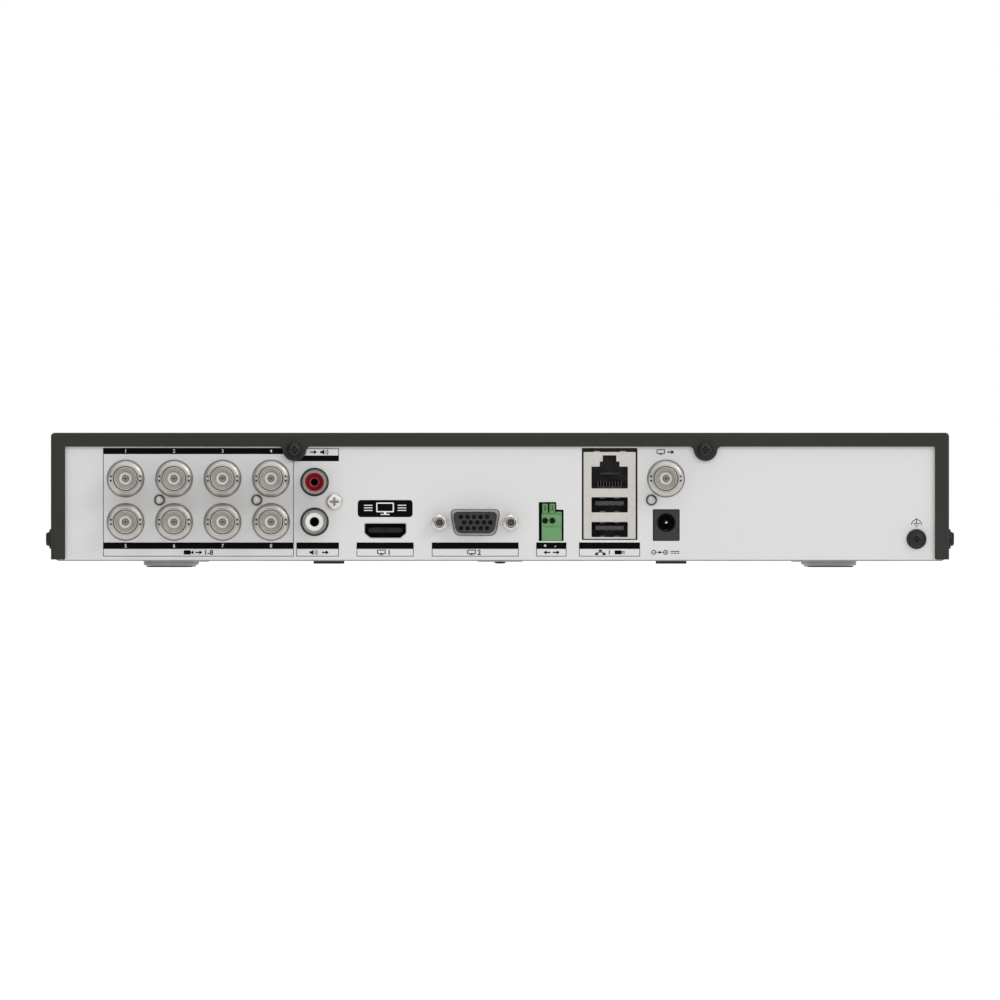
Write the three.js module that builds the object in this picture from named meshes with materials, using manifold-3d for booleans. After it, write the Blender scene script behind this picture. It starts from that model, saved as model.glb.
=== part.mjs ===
// A desktop video recorder: folded steel case, moulded front bezel, rear connector panel, main board and
// hard drive. Millimetres, +Z up, front towards -Y. The origin lies on the surface that the recorder stands
// on, under the middle of its bounding box.
//
// Everything behind the rear panel's outer face is drawn in the rear frame, a group turned half round: its
// +X is to the right as seen from behind, its Y = 0 is the panel's outer face, and -Y points out of the case.

import * as THREE from "three";
import { mergeVertices } from "three/addons/utils/BufferGeometryUtils.js";
import Module from "manifold-3d";

const wasm = await Module();
wasm.setup();

// ---- Case ----
const CASE_WIDTH = 315;
const CASE_HEIGHT = 45; // base underside to cover top
const OVERALL_DEPTH = 242; // bezel face to video socket tips
const FOOT_HEIGHT = 2.2;
const SOCKET_REACH = 11.6; // how far a video socket stands out of the rear panel
const COVER_T = 1.0;
const PAN_T = 0.8;
const PANEL_T = 0.8;
const COVER_BEND = 1.3;
const PAN_BEND = 1.7;
const FIT_GAP = 0.3; // between nested sheets
const SEAT_GAP = 0.05; // between two pieces that rest on each other

const BASE_Z = FOOT_HEIGHT;
const TOP_Z = BASE_Z + CASE_HEIGHT;
const FLOOR_Z = BASE_Z + PAN_T; // inside of the base pan
const HALF_WIDTH = CASE_WIDTH / 2;
const FRONT_Y = -OVERALL_DEPTH / 2;
const REAR_Y = OVERALL_DEPTH / 2 - SOCKET_REACH;
const PAN_HALF_WIDTH = HALF_WIDTH - COVER_T - FIT_GAP;
const BEZEL_BACK_Y = -109.3;
const COVER_FRONT_Y = BEZEL_BACK_Y + FIT_GAP;
const PAN_FRONT_Y = -108.6;
const PAN_WALL_TOP = 40;

// ---- Feet, bezel fixings and vents ----
const FOOT_X = 116;
const FOOT_YS = [-86, 88];
const FOOT_R = 9.15;
const PAD_R = 8.1;
const PAD_T = 0.5;
const BEZEL_SCREW_XS = [-111.4, 0, 111.4];
const BEZEL_SCREW_Y = -98;
const BOSS_R = 8.05;
const BOSS_DROP = 0.55;
const CLIP_X = 60.8;
const CLIP_WIDTH = 10.9;
const CLIP_T = 0.95;
const VENT_COUNT = 16;
const VENT_PITCH = 6.5;
const VENT_WIDTH = 2.4;
const VENT_LENGTH = 14;
const VENT_Z = 27;
const FLOOR_VENT_COUNT = 6;

// ---- Cover fixings ----
const LIP_SIDE = 5.0; // rear lip of the cover, seen from behind
const LIP_TOP = 4.9;
const TAB_X = 72.07;
const TAB_R = 4.15;
const TAB_Z = TOP_Z - LIP_TOP - 0.9;
const CASE_SCREW_Z = BASE_Z + 7.7;
const SIDE_SCREW_YS = [-78, 82];
const SCREW_HOLE_R = 1.7;

// ---- Rear connectors, in the rear frame ----
const VIDEO_XS = [-131.3, -114.3, -97.3, -80.3];
const VIDEO_ZS = [BASE_Z + 28.93, BASE_Z + 13.7]; // upper and lower row
const VIDEO_OUT_X = 58.2;
const VIDEO_BODY_R = 6.5;
const VIDEO_BARREL_R = 4.8;
const VIDEO_BORE_R = 4.15;
const VIDEO_CORE_R = 2.35;
const VIDEO_CORE_REACH = 8.6;
const SMALL_SCREW_Z = BASE_Z + 21.4;
const VIDEO_SCREW_XS = { left: -119.4, right: -85.3, out: 53.1 };
const AUDIO_X = -65.05;
const AUDIO_ZS = { in: BASE_Z + 27.7, out: BASE_Z + 13.75 };
const AUDIO_REACH = 8.5;
const AUDIO_SCREW = { x: -58.1, z: BASE_Z + 20.8 };
const DIGITAL = { x: -40.2, z: BASE_Z + 10.65 };
const ANALOG = { x: -8.72, z: BASE_Z + 13.5, screwPitch: 25.0 };
const PIN_PITCH = 2.29;
const PIN_ROW_PITCH = 1.98;
const TERMINAL = { x0: 14.6, x1: 21.7, z1: BASE_Z + 17.3, leverZ0: BASE_Z + 16.8, leverZ1: BASE_Z + 20.1 };
const LEVER_XS = [15.78, 18.34];
const LEVER_WIDTH = 2.0;
const STACK = { x0: 29.3, x1: 47.6, z0: BASE_Z + 7.75, z1: BASE_Z + 38.25 };
const SOCKET_X0 = 32.1;
const SOCKET_X1 = 44.8;
const USB_HEIGHT = 5.3;
const USB_ZS = { upper: BASE_Z + 17.05, lower: BASE_Z + 8.4 };
const NETWORK_Z = BASE_Z + 25.45;
const POWER = { x: 58.3, z: BASE_Z + 13.5, x0: 53.8, x1: 62.8, z1: BASE_Z + 17.95 };
const EARTH_X = 146.06;

// ---- Inside ----
const BOARD_TOP = 9.2;
const BOARD_T = 1.6;
const BOARD = { x0: -146, x1: 72, y0: 2, y1: 95 };
const BOARD_POSTS = [
  [-141, 22], [-141, 90], [-62, 60], [22, 90], [67, 36], [67, 90],
];
const DRIVE = { x: 48, y: -40.2, z: 6, length: 146, width: 101.6, height: 26.1 };
const DRIVE_HOLES_X = [-31.72, 12.73];
const DRIVE_HOLES_Y = 47.625;

// ---- Solids ----

// A closed geometry as a manifold-3d solid, facing out.
function solid(geometry) {
  const plain = geometry.index ? geometry.toNonIndexed() : geometry.clone();
  plain.deleteAttribute("normal");
  plain.deleteAttribute("uv");
  const merged = mergeVertices(plain);
  const index = merged.index.array;
  const corners = [];
  for (let i = 0; i < index.length; i += 3) {
    const [a, b, c] = [index[i], index[i + 1], index[i + 2]];
    if (a !== b && b !== c && c !== a) corners.push(a, b, c);
  }
  const build = (triVerts) =>
    new wasm.Manifold(
      new wasm.Mesh({ numProp: 3, vertProperties: merged.attributes.position.array, triVerts }),
    );
  const made = build(new Uint32Array(corners));
  return made.volume() < 0 ? build(new Uint32Array(corners.reverse())) : made;
}

function geometryOf(body) {
  const mesh = body.getMesh();
  return new THREE.BufferGeometry()
    .setAttribute("position", new THREE.BufferAttribute(new Float32Array(mesh.vertProperties), 3))
    .setIndex(new THREE.BufferAttribute(new Uint32Array(mesh.triVerts), 1));
}

const join = (...bodies) => bodies.reduce((sum, body) => sum.add(body));
const cut = (body, ...tools) => tools.reduce((rest, tool) => rest.subtract(tool), body);

function box(x0, x1, y0, y1, z0, z1) {
  const geometry = new THREE.BoxGeometry(x1 - x0, y1 - y0, z1 - z0);
  return solid(geometry.translate((x0 + x1) / 2, (y0 + y1) / 2, (z0 + z1) / 2));
}

// Extrusions of a shape drawn in (x, z), (y, z) or (x, y).
function extrude(shape, depth, curveSegments) {
  return new THREE.ExtrudeGeometry(shape, { depth, bevelEnabled: false, curveSegments });
}

function alongY(shape, y0, y1, curveSegments = 4) {
  return solid(extrude(shape, y1 - y0, curveSegments).rotateX(Math.PI / 2).translate(0, y1, 0));
}

function alongX(shape, x0, x1, curveSegments = 4) {
  const turn = new THREE.Matrix4().makeBasis(
    new THREE.Vector3(0, 1, 0),
    new THREE.Vector3(0, 0, 1),
    new THREE.Vector3(1, 0, 0),
  );
  return solid(extrude(shape, x1 - x0, curveSegments).applyMatrix4(turn).translate(x0, 0, 0));
}

function alongZ(shape, z0, z1, curveSegments = 4) {
  return solid(extrude(shape, z1 - z0, curveSegments).translate(0, 0, z0));
}

// Turned pieces: each profile point is [radius, position along the axis].
function lathe(profile, segments) {
  const points = [...profile, profile[0]].map(([r, along]) => new THREE.Vector2(r, along));
  return new THREE.LatheGeometry(points, segments);
}

function turnedY(profile, x, z, segments) {
  return solid(lathe(profile, segments).translate(x, 0, z));
}

function turnedZ(profile, x, y, segments) {
  return solid(lathe(profile, segments).rotateX(Math.PI / 2).translate(x, y, 0));
}

const rodY = (r, y0, y1, x, z, segments = 16) =>
  turnedY([[0, y0], [r, y0], [r, y1], [0, y1]], x, z, segments);
const rodZ = (r, z0, z1, x, y, segments = 16) =>
  turnedZ([[0, z0], [r, z0], [r, z1], [0, z1]], x, y, segments);

// A polygon with its corners rounded by the same radius.
function roundedPolygon(corners, radius) {
  const shape = new THREE.Shape();
  const count = corners.length;
  const points = corners.map(([x, y]) => new THREE.Vector2(x, y));
  points.forEach((corner, i) => {
    const before = points[(i + count - 1) % count].clone().sub(corner).setLength(radius).add(corner);
    const after = points[(i + 1) % count].clone().sub(corner).setLength(radius).add(corner);
    if (i === 0) shape.moveTo(before.x, before.y);
    else shape.lineTo(before.x, before.y);
    shape.quadraticCurveTo(corner.x, corner.y, after.x, after.y);
  });
  return shape;
}

function polygon(corners) {
  return new THREE.Shape(corners.map(([x, y]) => new THREE.Vector2(x, y)));
}

const rectangle = (x0, x1, y0, y1) => [[x0, y0], [x1, y0], [x1, y1], [x0, y1]];

// A slot with trimmed ends, its length along the second axis of the drawing.
function slot(x, y, width, length) {
  const corners = rectangle(x - width / 2, x + width / 2, y - length / 2, y + length / 2);
  return roundedPolygon(corners, width * 0.3);
}

// A folded channel, seen along its length: two flanges that end at edgeZ, joined by a web whose outer
// face is at webZ.
function channel(halfWidth, edgeZ, webZ, thickness, bend) {
  const up = Math.sign(webZ - edgeZ);
  const shape = new THREE.Shape();
  const half = (side, w, z, r, towardsWeb) => {
    const ends = [[side * w, z - up * r], [side * (w - r), z]];
    const [first, last] = towardsWeb ? ends : [ends[1], ends[0]];
    shape.lineTo(...first);
    shape.quadraticCurveTo(side * w, z, ...last);
  };
  const inner = halfWidth - thickness;
  shape.moveTo(-halfWidth, edgeZ);
  half(-1, halfWidth, webZ, bend, true);
  half(1, halfWidth, webZ, bend, false);
  shape.lineTo(halfWidth, edgeZ);
  shape.lineTo(inner, edgeZ);
  half(1, inner, webZ - up * thickness, bend - thickness, true);
  half(-1, inner, webZ - up * thickness, bend - thickness, false);
  shape.lineTo(-inner, edgeZ);
  return shape;
}

// ---- Materials ----
const finish = (color, roughness, metalness) =>
  new THREE.MeshStandardMaterial({ color, roughness, metalness });
const darkPaint = finish(0x3b3a37, 0.6, 0.0);
const palePaint = finish(0xd9dada, 0.55, 0.0);
const zincSteel = finish(0xa9abab, 0.4, 0.9);
const blackPlastic = finish(0x232323, 0.6, 0.0);
const glossPlastic = finish(0x0c0c0d, 0.1, 0.0);
const clearPlastic = finish(0xdfe6e8, 0.2, 0.0);
const rubber = finish(0x1e1e1e, 0.9, 0.0);
const blackSteel = finish(0x262626, 0.45, 0.6);
const nickel = finish(0xbfbcb8, 0.3, 1.0);
const insulatorGrey = finish(0xd9d7d0, 0.5, 0.0);
const connectorBlack = finish(0x2b2b2b, 0.55, 0.0);
const audioRed = finish(0xa81f2b, 0.4, 0.0);
const audioWhite = finish(0xe9e8e4, 0.4, 0.0);
const terminalGreen = finish(0x649662, 0.5, 0.0);
const boardGreen = finish(0x1d5a38, 0.5, 0.0);
const castAluminium = finish(0x9c9d9e, 0.45, 0.9);
const cableRed = finish(0x7d1a1a, 0.5, 0.0);

const recorder = new THREE.Group();
const rear = new THREE.Group();
rear.rotation.z = Math.PI;
rear.position.y = REAR_Y;
recorder.add(rear);

function place(name, body, material, parent = recorder) {
  const mesh = new THREE.Mesh(geometryOf(body), material);
  mesh.name = name;
  parent.add(mesh);
  return mesh;
}

// ---- Screws: bearing face at y = 0, head towards -y, shank towards +y ----
function crossRecess(size, depth, headY) {
  const width = size * 0.28;
  return join(
    box(-size, size, headY - 1, headY + depth, -width, width),
    box(-width, width, headY - 1, headY + depth, -size, size),
  );
}

function panScrew({ headR, headH, shankR, length, flange = [] }) {
  const profile = [
    [0, length], [shankR, length], [shankR, 0], ...flange,
    [headR, flange.length ? -0.4 : 0], [headR, -headH * 0.6], [headR * 0.75, -headH], [0, -headH],
  ];
  return cut(turnedY(profile, 0, 0, 10), crossRecess(headR * 0.55, headH * 0.5, -headH));
}

const caseScrew = () =>
  panScrew({ headR: 2.55, headH: 2.0, shankR: 1.45, length: 6, flange: [[3.6, 0], [3.6, -0.4]] });

function placeScrew(name, body, material, position, turn = {}, parent = recorder) {
  const mesh = place(name, body, material, parent);
  mesh.position.set(...position);
  mesh.rotation.set(turn.x ?? 0, 0, turn.z ?? 0);
}

// ---- Base pan: a folded tray with stamped feet, fixing bosses, posts and vents ----
function footBoss(x, y) {
  const padTop = PAD_T + SEAT_GAP;
  const outside = [
    [0, FLOOR_Z], [FOOT_R, FLOOR_Z], [FOOT_R, padTop + 0.55], [FOOT_R - 0.55, padTop], [0, padTop],
  ];
  return turnedZ(outside, x, y, 18);
}

function basePan() {
  const floorTo = FLOOR_Z + 1;
  const channelBody = alongY(
    channel(PAN_HALF_WIDTH, PAN_WALL_TOP, BASE_Z, PAN_T, PAN_BEND), PAN_FRONT_Y, REAR_Y, 3,
  );
  const frontFlange = box(-150, 150, PAN_FRONT_Y, PAN_FRONT_Y + PAN_T, FLOOR_Z - 0.2, 15);
  let pan = join(channelBody, frontFlange);
  for (const x of [-FOOT_X, FOOT_X]) {
    for (const y of FOOT_YS) {
      const pocket = rodZ(FOOT_R - PAN_T, PAD_T + SEAT_GAP + PAN_T, floorTo, x, y, 18);
      pan = cut(join(pan, footBoss(x, y)), pocket);
    }
  }
  for (const x of BEZEL_SCREW_XS) {
    const boss = rodZ(BOSS_R, BASE_Z - BOSS_DROP, FLOOR_Z, x, BEZEL_SCREW_Y, 16);
    const pocket = rodZ(BOSS_R - PAN_T, BASE_Z - BOSS_DROP + PAN_T, floorTo, x, BEZEL_SCREW_Y, 16);
    const hole = rodZ(SCREW_HOLE_R, 0, floorTo, x, BEZEL_SCREW_Y, 8);
    const lugNotch = box(x - 8, x + 8, PAN_FRONT_Y - 1, PAN_FRONT_Y + 2, FLOOR_Z + 0.02, 16);
    pan = cut(join(pan, boss), pocket, hole, lugNotch);
  }
  for (const dx of DRIVE_HOLES_X) {
    for (const side of [-1, 1]) {
      const [x, y] = [DRIVE.x + dx, DRIVE.y + side * DRIVE_HOLES_Y];
      const mound = turnedZ([[0, BASE_Z], [7, BASE_Z], [5, DRIVE.z], [0, DRIVE.z]], x, y, 10);
      const hollow = turnedZ(
        [[0, BASE_Z - 1], [6.3, BASE_Z - 1], [6.3, BASE_Z], [4.3, DRIVE.z - PAN_T], [0, DRIVE.z - PAN_T]],
        x, y, 10,
      );
      pan = cut(join(pan, mound), hollow, rodZ(1.8, 0, DRIVE.z + 1, x, y, 8));
    }
  }
  for (const [x, y] of BOARD_POSTS) {
    const post = rodZ(2.7, BASE_Z + 0.3, BOARD_TOP - BOARD_T - SEAT_GAP, -x, REAR_Y - y, 6);
    pan = join(pan, post);
  }
  for (const side of [-1, 1]) {
    const clipSlot = box(
      side * CLIP_X - CLIP_WIDTH / 2 - 0.4, side * CLIP_X + CLIP_WIDTH / 2 + 0.4, -104.5, -101.5, 0, floorTo,
    );
    const ventWindows = [[-55, -2], [2, 55]].map(([y0, y1]) =>
      box(...[side * 157, side * 154].sort((a, b) => a - b), y0, y1, VENT_Z - 9, VENT_Z + 9));
    const screwHoles = SIDE_SCREW_YS.map((y) => sideHole(side, y));
    pan = cut(pan, clipSlot, ...ventWindows, ...screwHoles);
  }
  for (let i = 0; i < FLOOR_VENT_COUNT; i++) {
    pan = cut(pan, alongZ(slot(-105 + i * 7, -52, 3, 26), 0, floorTo, 1));
  }
  return pan;
}

function sideHole(side, y) {
  const turned = rodY(SCREW_HOLE_R, -4, 4, 0, 0, 8).rotate([0, 0, 90]);
  return turned.translate([side * (HALF_WIDTH - 1), y, CASE_SCREW_Z]);
}

// ---- Top cover: a folded channel with a rear lip, two screw tabs and side vents ----
function coverLip() {
  const bottom = BASE_Z + 0.5;
  const lipZ = TOP_Z - LIP_TOP;
  const inner = HALF_WIDTH - LIP_SIDE;
  const shape = new THREE.Shape();
  const end = 1.4; // the lip's lower inside corner is trimmed round
  shape.moveTo(-HALF_WIDTH, bottom);
  shape.lineTo(-HALF_WIDTH, TOP_Z - COVER_BEND);
  shape.quadraticCurveTo(-HALF_WIDTH, TOP_Z, -HALF_WIDTH + COVER_BEND, TOP_Z);
  shape.lineTo(HALF_WIDTH - COVER_BEND, TOP_Z);
  shape.quadraticCurveTo(HALF_WIDTH, TOP_Z, HALF_WIDTH, TOP_Z - COVER_BEND);
  shape.lineTo(HALF_WIDTH, bottom);
  shape.lineTo(inner + end, bottom);
  shape.quadraticCurveTo(inner, bottom, inner, bottom + end);
  shape.lineTo(inner, lipZ);
  for (const x of [TAB_X, -TAB_X]) {
    const fillet = lipZ - TAB_Z;
    shape.lineTo(x + TAB_R + fillet, lipZ);
    shape.quadraticCurveTo(x + TAB_R, lipZ, x + TAB_R, TAB_Z);
    shape.absarc(x, TAB_Z, TAB_R, 0, -Math.PI, true);
    shape.quadraticCurveTo(x - TAB_R, lipZ, x - TAB_R - fillet, lipZ);
  }
  shape.lineTo(-inner, lipZ);
  shape.lineTo(-inner, bottom + end);
  shape.quadraticCurveTo(-inner, bottom, -inner - end, bottom);
  return shape;
}

function topCover() {
  const lipY = REAR_Y + FIT_GAP;
  const walls = alongY(
    channel(HALF_WIDTH, BASE_Z + 0.5, TOP_Z, COVER_T, COVER_BEND), COVER_FRONT_Y, lipY + COVER_T, 3,
  );
  let cover = join(walls, alongY(coverLip(), lipY, lipY + COVER_T, 6));
  for (const x of [-TAB_X, TAB_X]) {
    cover = cut(cover, rodY(SCREW_HOLE_R, lipY - 1, lipY + 3, x, TAB_Z - 0.2, 10));
  }
  for (const side of [-1, 1]) {
    cover = cut(cover, ...SIDE_SCREW_YS.map((y) => sideHole(side, y)));
  }
  for (let i = 0; i < VENT_COUNT; i++) {
    const y = (i - (VENT_COUNT - 1) / 2) * VENT_PITCH;
    cover = cut(cover, alongX(slot(y, VENT_Z, VENT_WIDTH, VENT_LENGTH), -160, 160, 1));
  }
  return cover;
}

place("base_pan", basePan(), zincSteel);
place("top_cover", topCover(), darkPaint);

const pad = [[0, 0], [PAD_R - 0.3, 0], [PAD_R, 0.25], [PAD_R, PAD_T], [0, PAD_T]];
for (const [side, x] of [["left", -FOOT_X], ["right", FOOT_X]]) {
  place(`foot_pad_front_${side}`, turnedZ(pad, x, FOOT_YS[0], 18), rubber);
  place(`foot_pad_rear_${side}`, turnedZ(pad, x, FOOT_YS[1], 18), rubber);
}

for (const [side, sign] of [["left", -1], ["right", 1]]) {
  const lipFace = REAR_Y + FIT_GAP + COVER_T + SEAT_GAP;
  const wallFace = sign * (HALF_WIDTH + SEAT_GAP);
  const tabPosition = [sign * TAB_X, lipFace, TAB_Z - 0.2];
  placeScrew(`cover_screw_rear_${side}`, caseScrew(), blackSteel, tabPosition, { z: Math.PI });
  ["front", "back"].forEach((end, i) => {
    const position = [wallFace, SIDE_SCREW_YS[i], CASE_SCREW_Z];
    placeScrew(`cover_screw_${side}_${end}`, caseScrew(), blackSteel, position, { z: (sign * Math.PI) / 2 });
  });
}

// ---- Front bezel, its window and light guide ----
const WINDOW = { x0: -142, x1: -62, z0: 19, z1: 31, t: 1.6 };
const LIGHT_XS = [-126, -102, -78];
const LIGHT_R = 1.6;
const BEZEL_T = 2.2;
const BEZEL_Z0 = BASE_Z + 0.1;
const LEDGE = 2.5; // how far the window's seat reaches in from its edge
const BOARD_FACE_Y = FRONT_Y + 7; // front of the indicator board

function bezelShell() {
  const corner = 2.4;
  const chamfer = 1.6;
  const faceOf = (inset, y0, y1) =>
    alongY(
      roundedPolygon(
        rectangle(-HALF_WIDTH + inset, HALF_WIDTH - inset, BEZEL_Z0 + inset, TOP_Z - inset), corner,
      ), y0, y1, 3,
    );
  const rim = wasm.Manifold.hull([
    faceOf(chamfer, FRONT_Y, FRONT_Y + 0.2),
    faceOf(0, FRONT_Y + chamfer, BEZEL_BACK_Y),
  ]);
  const hollow = box(
    -HALF_WIDTH + BEZEL_T, HALF_WIDTH - BEZEL_T, FRONT_Y + 3, BEZEL_BACK_Y + 1,
    BEZEL_Z0 + BEZEL_T, TOP_Z - BEZEL_T,
  );
  const groove = box(-200, 200, FRONT_Y - 1, FRONT_Y + 0.8, 13.6, 14.8);
  return cut(rim, hollow, groove);
}

function frontBezel() {
  const seat = alongY(
    roundedPolygon(rectangle(WINDOW.x0 - 0.15, WINDOW.x1 + 0.15, WINDOW.z0 - 0.15, WINDOW.z1 + 0.15), 2),
    FRONT_Y - 1, FRONT_Y + WINDOW.t + 0.2, 3,
  );
  const opening = box(
    WINDOW.x0 + LEDGE, WINDOW.x1 - LEDGE, FRONT_Y, FRONT_Y + 4, WINDOW.z0 + LEDGE, WINDOW.z1 - LEDGE,
  );
  let bezel = cut(bezelShell(), seat, opening);
  for (const x of BEZEL_SCREW_XS) {
    const lug = box(x - 6, x + 6, FRONT_Y + 2, BEZEL_SCREW_Y + 3, FLOOR_Z + 0.3, 8.5);
    bezel = cut(join(bezel, lug), rodZ(1.2, 2, 7.9, x, BEZEL_SCREW_Y, 8));
  }
  for (const side of [-1, 1]) {
    const [x0, x1] = [side * CLIP_X - CLIP_WIDTH / 2, side * CLIP_X + CLIP_WIDTH / 2];
    const clipTop = BASE_Z - SEAT_GAP * 2;
    const root = box(x0, x1, FRONT_Y + 4, BEZEL_BACK_Y, clipTop - CLIP_T, BEZEL_Z0 + 1);
    const arm = box(x0, x1, FRONT_Y + 4, -101.7, clipTop - CLIP_T, clipTop);
    const barb = box(x0, x1, -104.3, -102.2, clipTop - CLIP_T, FLOOR_Z + 0.6);
    bezel = join(bezel, root, arm, barb);
  }
  for (const x of [LIGHT_XS[0] - 9, LIGHT_XS[2] + 7]) {
    for (const z of [WINDOW.z0, WINDOW.z1]) {
      bezel = join(bezel, box(x - 2, x + 2, FRONT_Y + 2.5, BOARD_FACE_Y - SEAT_GAP, z - 1.8, z + 1.8));
    }
  }
  return bezel;
}

place("front_bezel", frontBezel(), blackPlastic);

const windowPlate = alongY(
  roundedPolygon(rectangle(WINDOW.x0, WINDOW.x1, WINDOW.z0, WINDOW.z1), 2),
  FRONT_Y + 0.1, FRONT_Y + WINDOW.t, 3,
);
const lightZ = (WINDOW.z0 + WINDOW.z1) / 2;
const lightHoles = LIGHT_XS.map((x) => rodY(LIGHT_R + 0.1, FRONT_Y - 1, FRONT_Y + 3, x, lightZ, 10));
place("indicator_window", cut(windowPlate, ...lightHoles), glossPlastic);

const guideBar = box(LIGHT_XS[0] - 4, LIGHT_XS[2] + 4, FRONT_Y + 1.9, FRONT_Y + 4.4, lightZ - 3, lightZ + 3);
const guidePins = LIGHT_XS.map((x) => rodY(LIGHT_R, FRONT_Y + 0.1, FRONT_Y + 3, x, lightZ, 10));
place("light_guide", join(guideBar, ...guidePins), clearPlastic);

const boardBehindWindow = box(
  LIGHT_XS[0] - 12, LIGHT_XS[2] + 10, BOARD_FACE_Y, BOARD_FACE_Y + 1.2, lightZ - 8, lightZ + 8,
);
const lamps = LIGHT_XS.map((x) =>
  box(x - 1, x + 1, BOARD_FACE_Y - 2, BOARD_FACE_Y + 0.1, lightZ - 1, lightZ + 1));
place("indicator_board", join(boardBehindWindow, ...lamps), boardGreen);

["left", "centre", "right"].forEach((side, i) => {
  const screw = panScrew({ headR: 2.0, headH: 0.6, shankR: 1.1, length: 6 });
  const position = [BEZEL_SCREW_XS[i], BEZEL_SCREW_Y, BASE_Z - BOSS_DROP - SEAT_GAP];
  placeScrew(`bezel_screw_${side}`, screw, blackSteel, position, { x: Math.PI / 2 });
});

// ---- Rear panel ----
const hole = (x, z, r, segments = 14) => rodY(r, -1, 2, x, z, segments);
const window = (x0, x1, z0, z1) => box(x0, x1, -1, 2, z0, z1);

// The digital video port's outline, flat on top with its lower corners cut away.
function digitalOutline(grow) {
  const [w, h] = [7.0 + grow, 2.3 + grow];
  return roundedPolygon(
    [[-w, h], [-w, -0.9], [-w + 2.0, -h], [w - 2.0, -h], [w, -0.9], [w, h]].map(([x, z]) => [
      x + DIGITAL.x,
      z + DIGITAL.z,
    ]),
    0.4,
  );
}

// The analog video port's D outline, with sides that lean in towards the bottom.
function analogOutline(width, height) {
  const [w, h] = [width / 2, height / 2];
  const lean = height * 0.09;
  return roundedPolygon(
    [[-w, h], [-w + 2 * lean, -h], [w - 2 * lean, -h], [w, h]].map(([x, z]) => [
      x + ANALOG.x,
      z + ANALOG.z,
    ]),
    Math.min(2.2, height * 0.24),
  );
}

function rearPanel() {
  const plate = box(-154.8, 154.8, 0, PANEL_T, FLOOR_Z + 0.1, TOP_Z - COVER_T - 0.1);
  const flange = box(-150, 150, PANEL_T - 0.2, 9, FLOOR_Z + 0.1, FLOOR_Z + 0.1 + PANEL_T);
  const earthNut = rodY(4, PANEL_T - 0.2, 4, EARTH_X, CASE_SCREW_Z, 6);
  const videoHoles = VIDEO_XS.flatMap((x) => VIDEO_ZS.map((z) => hole(x, z, VIDEO_BODY_R + 0.2)));
  const screwHoles = Object.values(VIDEO_SCREW_XS).map((x) => hole(x, SMALL_SCREW_Z, 1.3, 8));
  const terminalCutout = alongY(
    polygon([
      [13.6, BASE_Z + 7.0], [22.3, BASE_Z + 7.0], [22.3, BASE_Z + 18.0],
      [19.75, BASE_Z + 18.0], [19.75, BASE_Z + 20.65], [13.6, BASE_Z + 20.65],
    ]), -1, 2,
  );
  const halfPitch = ANALOG.screwPitch / 2;
  return cut(
    join(plate, flange, earthNut),
    ...videoHoles,
    ...screwHoles,
    hole(VIDEO_OUT_X, VIDEO_ZS[0], VIDEO_BODY_R + 0.2),
    hole(AUDIO_X, AUDIO_ZS.in, 5.1),
    hole(AUDIO_X, AUDIO_ZS.out, 5.1),
    hole(AUDIO_SCREW.x, AUDIO_SCREW.z, 1.5, 8),
    alongY(digitalOutline(0.75), -1, 2, 3),
    alongY(analogOutline(18.4, 9.6), -1, 2, 4),
    hole(ANALOG.x - halfPitch, ANALOG.z, 1.7, 10),
    hole(ANALOG.x + halfPitch, ANALOG.z, 1.7, 10),
    terminalCutout,
    window(STACK.x0 - 0.6, STACK.x1 + 0.6, STACK.z0 - 0.35, STACK.z1 + 1.4),
    window(POWER.x0 - 0.2, POWER.x1 + 0.2, BASE_Z + 7.05, POWER.z1 + 0.2),
    rodY(2.05, -1, 5, EARTH_X, CASE_SCREW_Z, 12),
    hole(TAB_X, TAB_Z - 0.2, SCREW_HOLE_R, 8),
    hole(-TAB_X, TAB_Z - 0.2, SCREW_HOLE_R, 8),
  );
}

place("rear_panel", rearPanel(), palePaint, rear);

// ---- Earth terminal: a screw that turns in its captive washer ----
const WASHER_T = 0.5;
const washer = turnedY(
  [[2.1, -SEAT_GAP], [3.5, -SEAT_GAP], [3.5, -SEAT_GAP - WASHER_T], [2.1, -SEAT_GAP - WASHER_T]], 0, 0, 18,
);
placeScrew("earth_washer", washer, blackSteel, [EARTH_X, 0, CASE_SCREW_Z], {}, rear);
const earthScrew = panScrew({ headR: 2.9, headH: 1.8, shankR: 1.9, length: 7 });
const earthHeadY = -WASHER_T - 2 * SEAT_GAP;
placeScrew("earth_screw", earthScrew, blackSteel, [EARTH_X, earthHeadY, CASE_SCREW_Z], {}, rear);

// ---- Video sockets: metal barrels in moulded blocks ----
const BARREL_BACK = 8;
const BARREL_SIDES = 12;

function videoBarrel() {
  const shoulder = 1.5;
  const coreHole = VIDEO_CORE_R + 0.15;
  const tube = turnedY(
    [
      [coreHole, BARREL_BACK], [VIDEO_BODY_R, BARREL_BACK], [VIDEO_BODY_R, -shoulder],
      [VIDEO_BARREL_R, -shoulder], [VIDEO_BARREL_R, -SOCKET_REACH], [VIDEO_BORE_R, -SOCKET_REACH],
      [VIDEO_BORE_R, -3], [coreHole, -3],
    ],
    0, 0, BARREL_SIDES,
  );
  const lugs = rodY(1, -5.5, 5.5, 0, 0, 6).rotate([0, 0, 90]).translate([0, -6.4, 0]);
  const bore = rodY(VIDEO_BORE_R + 0.1, -8, -4, 0, 0, BARREL_SIDES);
  return join(tube, cut(lugs, bore));
}

// The bore for a barrel in its block, and the insulating core that stands up the middle of it.
function videoSeat(x, z) {
  return rodY(VIDEO_BODY_R + 0.1, 0.5, BARREL_BACK + 0.1, x, z, BARREL_SIDES);
}

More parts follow.
